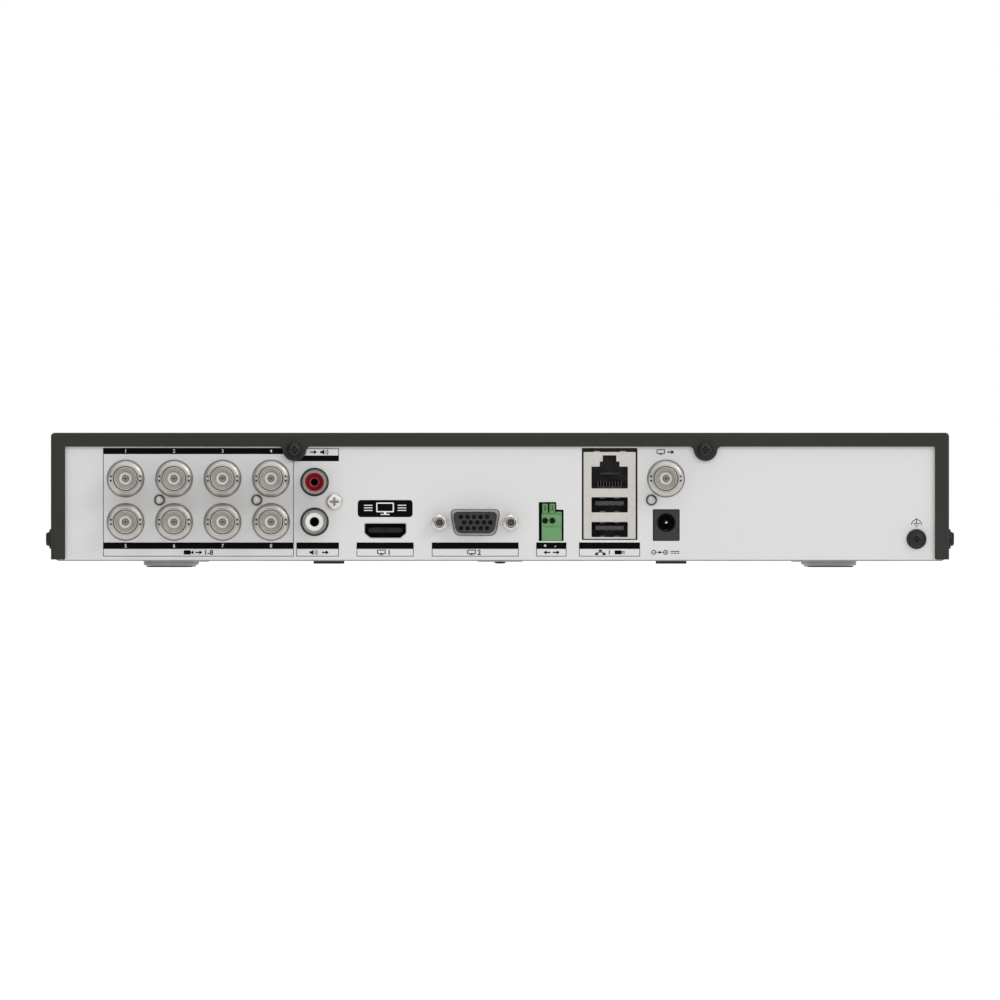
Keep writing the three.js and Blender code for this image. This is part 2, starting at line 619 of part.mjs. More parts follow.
function videoCore(x, z) {
  const core = rodY(VIDEO_CORE_R, -VIDEO_CORE_REACH, BARREL_BACK + 1, x, z, 12);
  return cut(core, rodY(1.1, -VIDEO_CORE_REACH - 1, 4, x, z, 8));
}

function videoBlock(body, places, screwX) {
  const seats = places.map(([x, z]) => videoSeat(x, z));
  const cores = places.map(([x, z]) => videoCore(x, z));
  const screwSeat = rodY(1.25, 0.5, 9, screwX, SMALL_SCREW_Z, 8);
  return join(cut(body, ...seats, screwSeat), ...cores);
}

const blockFront = PANEL_T + 0.2;
const blockBottom = BOARD_TOP + SEAT_GAP;
[["left", 0], ["right", 2]].forEach(([side, first]) => {
  const columns = VIDEO_XS.slice(first, first + 2);
  const body = box(columns[0] - 7.7, columns[1] + 7.7, blockFront, 17, blockBottom, 38.6);
  const places = columns.flatMap((x) => VIDEO_ZS.map((z) => [x, z]));
  place(`video_block_${side}`, videoBlock(body, places, VIDEO_SCREW_XS[side]), insulatorGrey, rear);
});
const outBody = join(
  box(50.2, 66.2, blockFront, 18, BASE_Z + 19, 39.2),
  box(50.2, 66.2, 14.4, 18, blockBottom, BASE_Z + 20),
);
const outPlace = [[VIDEO_OUT_X, VIDEO_ZS[0]]];
place("video_out_block", videoBlock(outBody, outPlace, VIDEO_SCREW_XS.out), insulatorGrey, rear);

const barrelPlaces = [
  ...VIDEO_ZS.flatMap((z, row) => VIDEO_XS.map((x, i) => [`video_socket_${row * 4 + i + 1}`, x, z])),
  ["video_out_socket", VIDEO_OUT_X, VIDEO_ZS[0]],
];
for (const [name, x, z] of barrelPlaces) {
  place(name, videoBarrel(), nickel, rear).position.set(x, 0, z);
}

for (const [side, x] of Object.entries(VIDEO_SCREW_XS)) {
  const screw = panScrew({ headR: 1.95, headH: 1.3, shankR: 1.1, length: 8 });
  placeScrew(`video_screw_${side}`, screw, nickel, [x, -SEAT_GAP, SMALL_SCREW_Z], {}, rear);
}

// ---- Audio sockets ----
const audioBody = box(-71.4, -54.2, blockFront, 15, blockBottom, 35.6);
const audioSeats = Object.values(AUDIO_ZS).map((z) => rodY(4.85, 0.5, 3.1, AUDIO_X, z, 16));
const audioScrewSeat = rodY(1.4, 0.5, 10, AUDIO_SCREW.x, AUDIO_SCREW.z, 8);
place("audio_block", cut(audioBody, ...audioSeats, audioScrewSeat), connectorBlack, rear);

for (const [way, z] of Object.entries(AUDIO_ZS)) {
  const sleeve = turnedY(
    [
      [3.65, 3], [4.7, 3], [4.7, -0.9], [4.15, -0.9], [4.15, -AUDIO_REACH], [3.65, -AUDIO_REACH],
    ],
    AUDIO_X, z, 16,
  );
  const insulator = turnedY(
    [[0, 3], [3.55, 3], [3.55, -AUDIO_REACH + 0.6], [1.65, -AUDIO_REACH + 0.6], [1.65, 1.5], [0, 1.5]],
    AUDIO_X, z, 16,
  );
  place(`audio_sleeve_${way}`, sleeve, nickel, rear);
  place(`audio_insulator_${way}`, insulator, way === "in" ? audioRed : audioWhite, rear);
}
const audioScrew = panScrew({ headR: 2.8, headH: 1.6, shankR: 1.3, length: 9 });
placeScrew("audio_screw", audioScrew, nickel, [AUDIO_SCREW.x, -SEAT_GAP, AUDIO_SCREW.z], {}, rear);

// ---- Digital video port ----
const PORT_DEPTH = 11.5;
const portShell = cut(
  alongY(digitalOutline(0.35), -0.1, PORT_DEPTH, 3),
  alongY(digitalOutline(0), -1, PORT_DEPTH + 1, 3),
);
const portBack = alongY(digitalOutline(-0.1), 9, PORT_DEPTH, 3);
const portTongue = box(
  DIGITAL.x - 6, DIGITAL.x + 6, 1.2, PORT_DEPTH - 1, DIGITAL.z - 0.1, DIGITAL.z + 1.0,
);
place("digital_port_shell", portShell, nickel, rear);
place("digital_port_tongue", join(portBack, portTongue), connectorBlack, rear);

// ---- Analog video port: flanged shell, pin insert and two hexagonal standoffs ----
const SHELL_REACH = 5.2;
const FLANGE_Y = PANEL_T + 0.1;
const standoffXs = [-1, 1].map((side) => ANALOG.x + (side * ANALOG.screwPitch) / 2);
const standoffHoles = standoffXs.map((x) => rodY(1.6, 0, 14, x, ANALOG.z, 10));
const analogFlange = alongY(
  roundedPolygon(rectangle(ANALOG.x - 15.4, ANALOG.x + 15.4, BOARD_TOP + 0.2, ANALOG.z + 6), 1),
  FLANGE_Y, FLANGE_Y + 0.8, 3,
);
const analogShell = cut(
  join(analogFlange, alongY(analogOutline(16.5, 8.1), -SHELL_REACH, FLANGE_Y + 0.2, 4)),
  alongY(analogOutline(15.7, 7.3), -SHELL_REACH - 1, FLANGE_Y + 2, 4),
  ...standoffHoles,
);
place("analog_port_shell", analogShell, nickel, rear);

function pinHoles() {
  const holes = [];
  for (const [row, shift] of [[1, -0.38], [0, 0.76], [-1, -0.38]]) {
    for (let i = -2; i <= 2; i++) {
      const x = ANALOG.x + shift + i * PIN_PITCH;
      holes.push(rodY(0.55, -SHELL_REACH - 1, -1, x, ANALOG.z + row * PIN_ROW_PITCH, 6));
    }
  }
  return holes;
}
const insertBody = box(ANALOG.x - 15.3, ANALOG.x + 15.3, 1.9, 12, BOARD_TOP + SEAT_GAP, ANALOG.z + 6);
const insertNose = alongY(analogOutline(15.5, 7.1), -SHELL_REACH + 0.5, 2.2, 4);
place(
  "analog_port_insert",
  cut(join(insertBody, insertNose), ...pinHoles(), ...standoffHoles),
  connectorBlack,
  rear,
);

const standoff = cut(
  join(rodY(2.89, -5, -SEAT_GAP, 0, 0, 6), rodY(1.45, -1, 8, 0, 0, 10)),
  rodY(1.4, -6, 0, 0, 0, 10),
);
["left", "right"].forEach((side, i) => {
  place(`analog_port_standoff_${side}`, standoff, nickel, rear).position.set(standoffXs[i], 0, ANALOG.z);
});

// ---- Serial terminal: spring clamps opened by two push levers ----
const LEVER_FRONT = -0.6;
const LEVER_BACK = 6.5;

function terminalBody() {
  const front = 0.2;
  const body = box(TERMINAL.x0, TERMINAL.x1, front, 12, BOARD_TOP + SEAT_GAP, TERMINAL.z1);
  const springHouse = box(TERMINAL.x0, 19.5, 8.6, 12, TERMINAL.z1 - 1, TERMINAL.leverZ1 + 0.1);
  const channels = LEVER_XS.map((x) =>
    box(x - LEVER_WIDTH / 2 - 0.12, x + LEVER_WIDTH / 2 + 0.12, -1, 8.6, TERMINAL.leverZ0 - 0.12, 30));
  const wireHoles = LEVER_XS.map((x) => rodY(0.95, -1, 7, x, BASE_Z + 14.15, 8));
  const groove = box(10, 25, front - 1, front + 0.25, BASE_Z + 11.9, BASE_Z + 12.3);
  return cut(join(body, springHouse), ...channels, ...wireHoles, groove);
}
place("terminal_body", terminalBody(), terminalGreen, rear);
LEVER_XS.forEach((x, i) => {
  const [x0, x1] = [x - LEVER_WIDTH / 2, x + LEVER_WIDTH / 2];
  const lever = box(x0, x1, LEVER_FRONT, LEVER_BACK, TERMINAL.leverZ0, TERMINAL.leverZ1);
  const driverSlot = box(x - 0.35, x + 0.35, -2, 0.2, TERMINAL.leverZ0 + 0.6, TERMINAL.leverZ1 - 0.5);
  place(`terminal_lever_${i + 1}`, cut(lever, driverSlot), terminalGreen, rear);
});

// ---- Network and serial-bus stack ----
const STACK_DEPTH = 20;
const SHIELD_T = 0.35;
const usbZs = Object.values(USB_ZS);

// The network socket's mouth: a wide plug opening with two steps up for the latch.
function networkMouth(grow) {
  const step = (x0, x1, z) => [[x1 + grow, z + grow], [x0 - grow, z + grow]];
  const z0 = NETWORK_Z - grow;
  const [middle, latch] = [[35.0, 41.9], [36.05, 40.75]];
  return polygon([
    [SOCKET_X0 - grow, z0], [SOCKET_X1 + grow, z0],
    [SOCKET_X1 + grow, BASE_Z + 33.1 + grow], [middle[1] + grow, BASE_Z + 33.1 + grow],
    [middle[1] + grow, BASE_Z + 34.9 + grow], [latch[1] + grow, BASE_Z + 34.9 + grow],
    ...step(...latch, BASE_Z + 37.05),
    [latch[0] - grow, BASE_Z + 34.9 + grow], [middle[0] - grow, BASE_Z + 34.9 + grow],
    [middle[0] - grow, BASE_Z + 33.1 + grow], [SOCKET_X0 - grow, BASE_Z + 33.1 + grow],
  ]);
}

function stackShield() {
  const can = box(STACK.x0, STACK.x1, 0, STACK_DEPTH, STACK.z0, STACK.z1);
  const inside = box(
    STACK.x0 + SHIELD_T, STACK.x1 - SHIELD_T, SHIELD_T, STACK_DEPTH + 1,
    STACK.z0 + SHIELD_T, STACK.z1 - SHIELD_T,
  );
  const usbMouths = usbZs.map((z) => window(SOCKET_X0, SOCKET_X1, z, z + USB_HEIGHT));
  return cut(can, inside, alongY(networkMouth(0), -1, 2), ...usbMouths);
}

function stackHousing() {
  const inset = SHIELD_T + 0.1;
  const block = box(
    STACK.x0 + inset, STACK.x1 - inset, inset, STACK_DEPTH - 0.5, STACK.z0 + inset, STACK.z1 - inset,
  );
  const wells = usbZs.map((z) => box(SOCKET_X0, SOCKET_X1, -1, 12, z, z + USB_HEIGHT));
  const tongues = usbZs.map((z) => box(33.5, 43.4, 1.5, 13, z + 2.1, z + 4.0));
  return join(cut(block, alongY(networkMouth(0), -1, 13), ...wells), ...tongues);
}
place("stack_shield", stackShield(), nickel, rear);
place("stack_housing", stackHousing(), connectorBlack, rear);

// ---- Power inlet ----
const inletBody = box(POWER.x0, POWER.x1, -0.1, 13.5, BOARD_TOP + SEAT_GAP, POWER.z1);
place("power_inlet", cut(inletBody, rodY(3.15, -1, 9.5, POWER.x, POWER.z, 16)), connectorBlack, rear);
place("power_pin", rodY(1.0, 1.0, 9.45, POWER.x, POWER.z, 10), nickel, rear);

// ---- Main board, heatsink, hard drive and its cable ----
function mainBoard() {
  const sheet = box(BOARD.x0, BOARD.x1, BOARD.y0, BOARD.y1, BOARD_TOP - BOARD_T, BOARD_TOP);
  const processor = box(-32, -8, 42, 66, BOARD_TOP - 0.2, BOARD_TOP + 1.6);
  const driveHeader = box(16, 40, 84, 90, BOARD_TOP - 0.2, BOARD_TOP + 8);
  return join(sheet, processor, driveHeader);
}
place("main_board", mainBoard(), boardGreen, rear);

function heatsink() {
  const bottom = BOARD_TOP + 1.6 + SEAT_GAP;
  const fins = Array.from({ length: 10 }, (_, i) => {
    const x = -38.2 + i * 3.9;
    return box(x, x + 1.2, 36, 72, bottom + 1, bottom + 12);
  });
  return join(box(-38.2, -1.9, 36, 72, bottom, bottom + 2.5), ...fins);
}
place("heatsink", heatsink(), castAluminium, rear);

function hardDrive() {
  const [hx, hy] = [DRIVE.length / 2, DRIVE.width / 2];
  const bottom = DRIVE.z + SEAT_GAP;
  const outline = roundedPolygon(rectangle(DRIVE.x - hx, DRIVE.x + hx, DRIVE.y - hy, DRIVE.y + hy), 3);
  const lid = roundedPolygon(
    rectangle(DRIVE.x - hx + 3, DRIVE.x + hx - 3, DRIVE.y - hy + 2, DRIVE.y + hy - 2), 6,
  );
  const casting = alongZ(outline, bottom, bottom + DRIVE.height - 1.2, 2);
  const connectorBay = box(DRIVE.x - hx - 1, DRIVE.x - hx + 4, -66, -14, bottom - 1, bottom + 8);
  return cut(join(casting, alongZ(lid, bottom + 10, bottom + DRIVE.height, 3)), connectorBay);
}
place("hard_drive", hardDrive(), castAluminium);

// A flat lead with a moulded plug at each end: one in the drive's connector bay, one on the board's header.
function driveCable() {
  const route = new THREE.CatmullRomCurve3([
    new THREE.Vector3(-29, -40, 10.2), new THREE.Vector3(-36, -39, 10.4), new THREE.Vector3(-40, -30, 12),
    new THREE.Vector3(-40, -12, 15), new THREE.Vector3(-38, 4, 22), new THREE.Vector3(-31, 15, 25),
    new THREE.Vector3(-28, 21.5, 23), new THREE.Vector3(-28, 22.4, 18.8),
  ]);
  const section = roundedPolygon(rectangle(-2.2, 2.2, -2.2, 2.2), 1);
  const lead = solid(
    new THREE.ExtrudeGeometry(section, { extrudePath: route, steps: 18, curveSegments: 1, bevelEnabled: false }),
  );
  const drivePlug = box(-31, -21.3, -62, -18, 6.4, 13.6);
  const boardPlug = box(-39, -17, 19.5, 25.3, BOARD_TOP + 8.05, BOARD_TOP + 13);
  return join(lead, drivePlug, boardPlug);
}
place("drive_cable", driveCable(), cableRed);

export default recorder;
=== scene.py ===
import math

import bmesh
import bpy
from mathutils import Matrix, Vector


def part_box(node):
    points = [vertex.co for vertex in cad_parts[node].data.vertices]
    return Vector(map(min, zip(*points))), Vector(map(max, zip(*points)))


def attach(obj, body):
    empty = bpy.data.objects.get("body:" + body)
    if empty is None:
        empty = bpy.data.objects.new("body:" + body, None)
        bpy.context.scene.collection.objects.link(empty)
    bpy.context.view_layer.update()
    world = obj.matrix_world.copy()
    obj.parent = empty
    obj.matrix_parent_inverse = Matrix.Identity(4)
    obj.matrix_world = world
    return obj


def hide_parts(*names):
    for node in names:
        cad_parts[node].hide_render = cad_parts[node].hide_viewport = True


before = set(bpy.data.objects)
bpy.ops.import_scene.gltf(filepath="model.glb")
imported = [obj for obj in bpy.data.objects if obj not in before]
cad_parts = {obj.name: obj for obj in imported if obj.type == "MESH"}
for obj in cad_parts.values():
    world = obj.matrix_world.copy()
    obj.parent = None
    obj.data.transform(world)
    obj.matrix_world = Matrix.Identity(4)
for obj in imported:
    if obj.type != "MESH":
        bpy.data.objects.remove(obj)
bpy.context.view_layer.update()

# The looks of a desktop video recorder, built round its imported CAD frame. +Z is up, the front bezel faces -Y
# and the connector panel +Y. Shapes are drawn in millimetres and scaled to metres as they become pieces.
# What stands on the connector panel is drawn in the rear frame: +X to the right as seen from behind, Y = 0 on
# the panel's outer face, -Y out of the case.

MM = 0.001
scene = bpy.context.scene
TURN = 2 * math.pi


# ---- Places, read from the CAD nodes, in millimetres ----
def node_box(node):
    low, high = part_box(node)
    return low / MM, high / MM


def node_centre(node):
    low, high = node_box(node)
    return (low + high) / 2


REAR_Y = node_box("rear_panel")[1].y
REAR = Matrix.Translation((0, REAR_Y * MM, 0)) @ Matrix.Rotation(math.pi, 4, "Z")
COVER_LOW, COVER_HIGH = node_box("top_cover")
PAN_LOW, PAN_HIGH = node_box("base_pan")
BASE_Z = 2.2  # underside of the base pan, above the ground
TOP_Z = COVER_HIGH.z
HALF_WIDTH = COVER_HIGH.x


def rear_xz(node):
    """Where a node's middle is on the connector panel, as (x, z) in the rear frame."""
    centre = node_centre(node)
    return -centre.x, centre.z


def rear_front(node):
    """How far out a node reaches, as y in the rear frame: negative is outside the panel."""
    return REAR_Y - node_box(node)[1].y


def on_rear(x=0.0, z=0.0, y=0.0):
    return REAR @ Matrix.Translation(Vector((x, y, z)) * MM)


# ---- Mesh kit ----
ON_AXIS = 1e-6  # a smaller radius is a point on the axis


def to_mesh(bm, name="shape"):
    bmesh.ops.remove_doubles(bm, verts=bm.verts, dist=1e-4)
    bmesh.ops.recalc_face_normals(bm, faces=bm.faces)
    mesh = bpy.data.meshes.new(name)
    bm.to_mesh(mesh)
    bm.free()
    return mesh


def moved(mesh, matrix):
    mesh.transform(matrix)
    return mesh


def shifted(mesh, x=0.0, y=0.0, z=0.0):
    return moved(mesh, Matrix.Translation((x, y, z)))


def joined(meshes):
    """Several meshes as one, with no boolean: they lie clear of each other or only touch."""
    bm = bmesh.new()
    for mesh in meshes:
        bm.from_mesh(mesh)
    mesh = bpy.data.meshes.new("joined")
    bm.to_mesh(mesh)
    bm.free()
    return mesh


def block(x0, x1, y0, y1, z0, z1, bevel=0.0, steps=2, edges=None):
    """A box with rounded edges; edges picks which ones, from their middle and direction."""
    bm = bmesh.new()
    size = Matrix.Diagonal((x1 - x0, y1 - y0, z1 - z0, 1))
    middle = Matrix.Translation(((x0 + x1) / 2, (y0 + y1) / 2, (z0 + z1) / 2))
    bmesh.ops.create_cube(bm, size=1, matrix=middle @ size)
    if bevel:
        picked = [e for e in bm.edges if edges is None or edges(*edge_facts(e))]
        bmesh.ops.bevel(
            bm, geom=picked, offset=bevel, segments=steps, profile=0.5, affect="EDGES"
        )
    return to_mesh(bm)


def rear_block(node, front, bevel, steps=2):
    """A box with a node's width, height and inner end, and its outer face at front, in the rear frame."""
    low, high = node_box(node)
    return block(-high.x, -low.x, front, REAR_Y - low.y, low.z, high.z, bevel, steps)


def edge_facts(edge):
    a, b = (v.co for v in edge.verts)
    return (a + b) / 2, (b - a).normalized()


def soften(points, radius, steps=3, closed=True):
    """A polyline with its corners rounded. The ends of an open one stay as they are."""
    points = [Vector(p) for p in points]
    count = len(points)
    result = []
    for i, corner in enumerate(points):
        if not closed and i in (0, count - 1):
            result.append(tuple(corner))
            continue
        before, after = points[i - 1] - corner, points[(i + 1) % count] - corner
        reach = min(radius, 0.45 * before.length, 0.45 * after.length)
        start, end = corner + before.normalized() * reach, corner + after.normalized() * reach
        for k in range(steps + 1):
            t = k / steps
            result.append(tuple((1 - t) ** 2 * start + 2 * t * (1 - t) * corner + t**2 * end))
    return result


def turned(profile, sides=64):
    """A body of revolution about Y from points (radius, y), which end on the axis or close on themselves."""
    bm = bmesh.new()
    rings = []
    for radius, y in profile:
        around = range(sides) if radius > ON_AXIS else range(1)
        rings.append([
            bm.verts.new((radius * math.sin(TURN * k / sides), y, radius * math.cos(TURN * k / sides)))
            for k in around
        ])
    pairs = list(zip(rings, rings[1:]))
    if profile[0][0] > ON_AXIS:
        pairs.append((rings[-1], rings[0]))
    for a, b in pairs:
        for i in range(sides):
            j = (i + 1) % sides
            corners = [a[i % len(a)], a[j % len(a)], b[j % len(b)], b[i % len(b)]]
            corners = list(dict.fromkeys(corners))
            if len(corners) > 2:
                bm.faces.new(corners)
    return to_mesh(bm)


def lathe(points, radius, steps=2, sides=64, closed=True):
    """A body of revolution about Y whose profile has its corners rounded."""
    return turned(soften(points, radius, steps, closed), sides)


def rod(radius, y0, y1, x=0.0, z=0.0, sides=48, bevel=0.0):
    profile = [(0, y0), (radius, y0), (radius, y1), (0, y1)]
    if bevel:
        profile = soften(profile, bevel, 2, closed=False)
    return shifted(turned(profile, sides), x, 0, z)


def upright(mesh, x=0.0, y=0.0):
    """Turns what was made along Y to stand along Z."""
    return shifted(moved(mesh, Matrix.Rotation(math.pi / 2, 4, "X")), x, y)


def sideways(mesh):
    """Turns what was made along Y to lie along X."""
    return moved(mesh, Matrix.Rotation(math.pi / 2, 4, "Z"))


def plate(outlines, y0, y1, bevel=0.0):
    """A sheet from y0 to y1 with the given (x, z) outlines: the rim first, then its holes."""
    curve = bpy.data.curves.new("outline", "CURVE")
    curve.dimensions = "2D"
    curve.fill_mode = "BOTH"
    curve.extrude = (y1 - y0) / 2 - bevel
    curve.bevel_depth = bevel
    curve.bevel_resolution = 1
    curve.offset = -bevel
    for points in outlines:
        spline = curve.splines.new("POLY")
        spline.points.add(len(points) - 1)
        for point, (x, z) in zip(spline.points, points):
            point.co = (x, z, 0, 1)
        spline.use_cyclic_u = True
    mesh = curve_mesh(curve)
    moved(mesh, Matrix.Rotation(math.pi / 2, 4, "X"))
    return shifted(mesh, 0, (y0 + y1) / 2)


def curve_mesh(curve):
    """The mesh of a curve or of lettering, merged and facing out."""
    holder = bpy.data.objects.new("holder", curve)
    scene.collection.objects.link(holder)
    bpy.context.view_layer.update()
    found = holder.evaluated_get(bpy.context.evaluated_depsgraph_get())
    mesh = bpy.data.meshes.new_from_object(found)
    bpy.data.objects.remove(holder)
    bm = bmesh.new()
    bm.from_mesh(mesh)
    bpy.data.meshes.remove(mesh)
    return to_mesh(bm)


def boolean(mesh, tools, operation="DIFFERENCE"):
    """Cuts or joins meshes exactly."""
    base = bpy.data.objects.new("base", mesh)
    scene.collection.objects.link(base)
    holders = []
    for tool in tools:
        holder = bpy.data.objects.new("tool", tool)
        scene.collection.objects.link(holder)
        holders.append(holder)
        modifier = base.modifiers.new("cut", "BOOLEAN")
        modifier.operation = operation
        modifier.solver = "EXACT"
        modifier.object = holder
    bpy.context.view_layer.update()
    found = base.evaluated_get(bpy.context.evaluated_depsgraph_get())
    result = bpy.data.meshes.new_from_object(found)
    for holder in [base, *holders]:
        bpy.data.objects.remove(holder)
    return result


def circle(x, z, radius, sides=48):
    return [
        (x + radius * math.sin(TURN * k / sides), z + radius * math.cos(TURN * k / sides))
        for k in range(sides)
    ]


def rectangle(x0, x1, z0, z1, radius=0.0, steps=4):
    corners = [(x0, z0), (x1, z0), (x1, z1), (x0, z1)]
    return soften(corners, radius, steps) if radius else corners


def slot_outline(width, length):
    """A slot with round ends, its length along z."""
    return soften(rectangle(-width / 2, width / 2, -length / 2, length / 2), width / 2, 5)


def on_arc(x, z, radius, angle):
    """A point round (x, z), its angle counted from +X towards +Z."""
    return x + radius * math.cos(angle), z + radius * math.sin(angle)


def tube(points, radius, sides=8):
    """A round wire along points, with closed ends."""
    curve = bpy.data.curves.new("wire", "CURVE")
    curve.dimensions = "3D"
    curve.bevel_depth = radius
    curve.bevel_resolution = sides // 4
    curve.use_fill_caps = True
    spline = curve.splines.new("POLY")
    spline.points.add(len(points) - 1)
    for point, place in zip(spline.points, points):
        point.co = (*place, 1)
    return curve_mesh(curve)


def piece(name, mesh, finish, *, body="chassis", replaces=(), at=None, sharp=35):
    """Makes a mesh drawn in millimetres a piece of the object that rides on a CAD body."""
    moved(mesh, Matrix.Scale(MM, 4))
    mesh.name = name
    mesh.materials.clear()
    mesh.materials.append(finish)
    mesh.shade_smooth()
    mesh.set_sharp_from_angle(angle=math.radians(sharp))
    made = bpy.data.objects.new(name, mesh)
    scene.collection.objects.link(made)
    made.matrix_world = at or Matrix()
    weights = made.modifiers.new("flat_faces", "WEIGHTED_NORMAL")  # large flat faces keep their own normal
    weights.keep_sharp = True
    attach(made, body)
    if replaces:
        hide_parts(*replaces)
    return made


def round_edges(made, width, steps=2, angle=40):
    """Adds a fine bevel to a piece's sharp edges, so that they catch the light."""
    bevel = made.modifiers.new("edges", "BEVEL")
    bevel.width = width * MM
    bevel.segments = steps
    bevel.limit_method = "ANGLE"
    bevel.angle_limit = math.radians(angle)
    made.modifiers.move(len(made.modifiers) - 1, 0)


# ---- Materials ----
def linear(r, g, b):
    """A colour given as 0 to 255 display values, as the linear one that shaders take."""
    def one(v):
        v /= 255
        return v / 12.92 if v <= 0.04045 else ((v + 0.055) / 1.055) ** 2.4
    return (one(r), one(g), one(b), 1.0)


class Surface:
    """A Principled material whose colour, roughness and bump are built up in layers."""

    def __init__(self, name, colour, roughness, metallic=0.0, **sockets):
        self.material = bpy.data.materials.new(name)
        self.material.use_nodes = True
        self.tree = self.material.node_tree
        self.shader = self.tree.nodes["Principled BSDF"]
        self.shader.inputs["Base Color"].default_value = colour
        self.shader.inputs["Roughness"].default_value = roughness
        self.shader.inputs["Metallic"].default_value = metallic
        for socket, value in sockets.items():
            self.shader.inputs[socket.replace("_", " ")].default_value = value
        self.material.diffuse_color = colour
        self.place = self.tree.nodes.new("ShaderNodeTexCoord").outputs["Object"]
        self.height = None

    def node(self, kind, **values):
        made = self.tree.nodes.new("ShaderNode" + kind)
        for key, value in values.items():
            if key in made.inputs:
                made.inputs[key].default_value = value
            else:
                setattr(made, key, value)
        return made

    def link(self, a, b):
        self.tree.links.new(a, b)

    def stretched(self, scale):
        mapping = self.node("Mapping")
        mapping.inputs["Scale"].default_value = scale
        self.link(self.place, mapping.inputs["Vector"])
        return mapping.outputs["Vector"]

    def noise(self, size, detail=3.0, stretch=(1, 1, 1), rough=0.55):
        """Cloudy noise with features about size millimetres across, from 0 to 1."""
        made = self.node("TexNoise", Scale=1 / (size * MM), Detail=detail, Roughness=rough)
        self.link(self.stretched(stretch), made.inputs["Vector"])
        return made.outputs["Fac"]

    def cells(self, size, output="Distance"):
        made = self.node("TexVoronoi", Scale=1 / (size * MM))
        self.link(self.place, made.inputs["Vector"])
        return made.outputs[output]

    def ramp(self, factor, low, high, to_low=0.0, to_high=1.0):
        made = self.node("MapRange")
        self.link(factor, made.inputs["Value"])
        for key, value in (
            ("From Min", low), ("From Max", high), ("To Min", to_low), ("To Max", to_high),
        ):
            made.inputs[key].default_value = value
        return made.outputs["Result"]

    def tint(self, factor, colour):
        """Mixes a second colour in where factor is high."""
        mix = self.tree.nodes.new("ShaderNodeMix")
        mix.data_type = "RGBA"
        source = self.shader.inputs["Base Color"]
        colours = [s for s in mix.inputs if s.type == "RGBA"]
        if source.links:
            self.link(source.links[0].from_socket, colours[0])
        else:
            colours[0].default_value = source.default_value
        colours[1].default_value = colour
        self.link(factor, mix.inputs["Factor"])
        self.link([s for s in mix.outputs if s.type == "RGBA"][0], source)
        return self

    def vary_roughness(self, factor, low, high):
        self.link(self.ramp(factor, 0.3, 0.7, low, high), self.shader.inputs["Roughness"])
        return self

    def bump(self, factor, depth):
        """Adds relief of about depth millimetres."""
        made = self.node("Bump", Distance=depth * MM, Strength=1.0)
        self.link(factor, made.inputs["Height"])
        if self.height:
            self.link(self.height, made.inputs["Normal"])
        self.height = made.outputs["Normal"]
        self.link(self.height, self.shader.inputs["Normal"])
        return self


def powder_coat(name, colour, worn, roughness=0.6):
    """Fine orange-peel paint on steel, slightly rubbed and dusty in places."""
    s = Surface(name, colour, roughness, Specular_IOR_Level=0.14)
    clouds = s.noise(38, 4)
    s.tint(s.ramp(clouds, 0.45, 0.75, 0.0, 0.22), worn)
    s.tint(s.ramp(s.noise(0.45, 2), 0.35, 0.8, 0.0, 0.25), worn)
    s.vary_roughness(s.noise(14, 4), roughness - 0.03, roughness + 0.04)
    s.bump(s.noise(0.55, 2), 0.03)
    return s.material


def pale_paint():
    s = Surface("pale_panel_paint", linear(208, 208, 208), 0.5, Specular_IOR_Level=0.2)
    s.tint(s.ramp(s.noise(60, 3), 0.4, 0.75, 0.0, 0.25), linear(205, 206, 206))
    s.tint(s.ramp(s.noise(1.1, 3), 0.55, 0.8, 0.0, 0.3), linear(203, 204, 204))
    s.vary_roughness(s.noise(9, 4), 0.45, 0.58)
    s.bump(s.noise(0.7, 2), 0.008)
    return s.material


def zinc_steel():
    """Galvanised sheet: soft spangle with fine rolling lines."""
    s = Surface("zinc_steel", linear(146, 147, 146), 0.4, 1.0)
    spangle = s.cells(7, "Color")
    s.tint(s.ramp(spangle, 0.1, 0.9, 0.0, 0.5), linear(124, 125, 125))
    s.tint(s.ramp(s.noise(2.5, 4), 0.5, 0.8, 0.0, 0.5), linear(164, 164, 162))
    s.vary_roughness(s.noise(5, 4), 0.3, 0.5)
    s.bump(s.noise(0.25, 2, (1, 0.02, 1)), 0.006)
    return s.material


def nickel(name, colour, low=0.2, high=0.34, grain=(1, 1, 1)):
    """Plated metal with faint tool marks and a few duller patches."""
    s = Surface(name, colour, (low + high) / 2, 1.0)
    s.tint(s.ramp(s.noise(2.2, 4), 0.45, 0.8, 0.0, 0.45), tuple(c * 0.78 for c in colour[:3]) + (1,))
    s.vary_roughness(s.noise(1.4, 4), low, high)
    s.bump(s.noise(0.16, 2, grain), 0.004)
    return s.material


def moulded(name, colour, lighter, roughness=0.5, grain=0.35, depth=0.015):
    """Moulded plastic with a fine eroded grain."""
    s = Surface(name, colour, roughness, Specular_IOR_Level=0.45)
    s.tint(s.ramp(s.noise(11, 4), 0.45, 0.8, 0.0, 0.5), lighter)
    s.tint(s.ramp(s.noise(grain * 1.6, 2), 0.5, 0.8, 0.0, 0.35), lighter)
    s.vary_roughness(s.noise(4, 4), roughness - 0.08, roughness + 0.1)
    s.bump(s.noise(grain, 2), depth)
    return s.material


def black_plating(name):
    s = Surface(name, linear(44, 44, 45), 0.38, 0.85)
    s.tint(s.ramp(s.noise(1.5, 4), 0.5, 0.8, 0.0, 0.6), linear(70, 70, 70))
    s.vary_roughness(s.noise(0.9, 4), 0.3, 0.5)
    s.bump(s.noise(0.2, 2), 0.006)
    return s.material


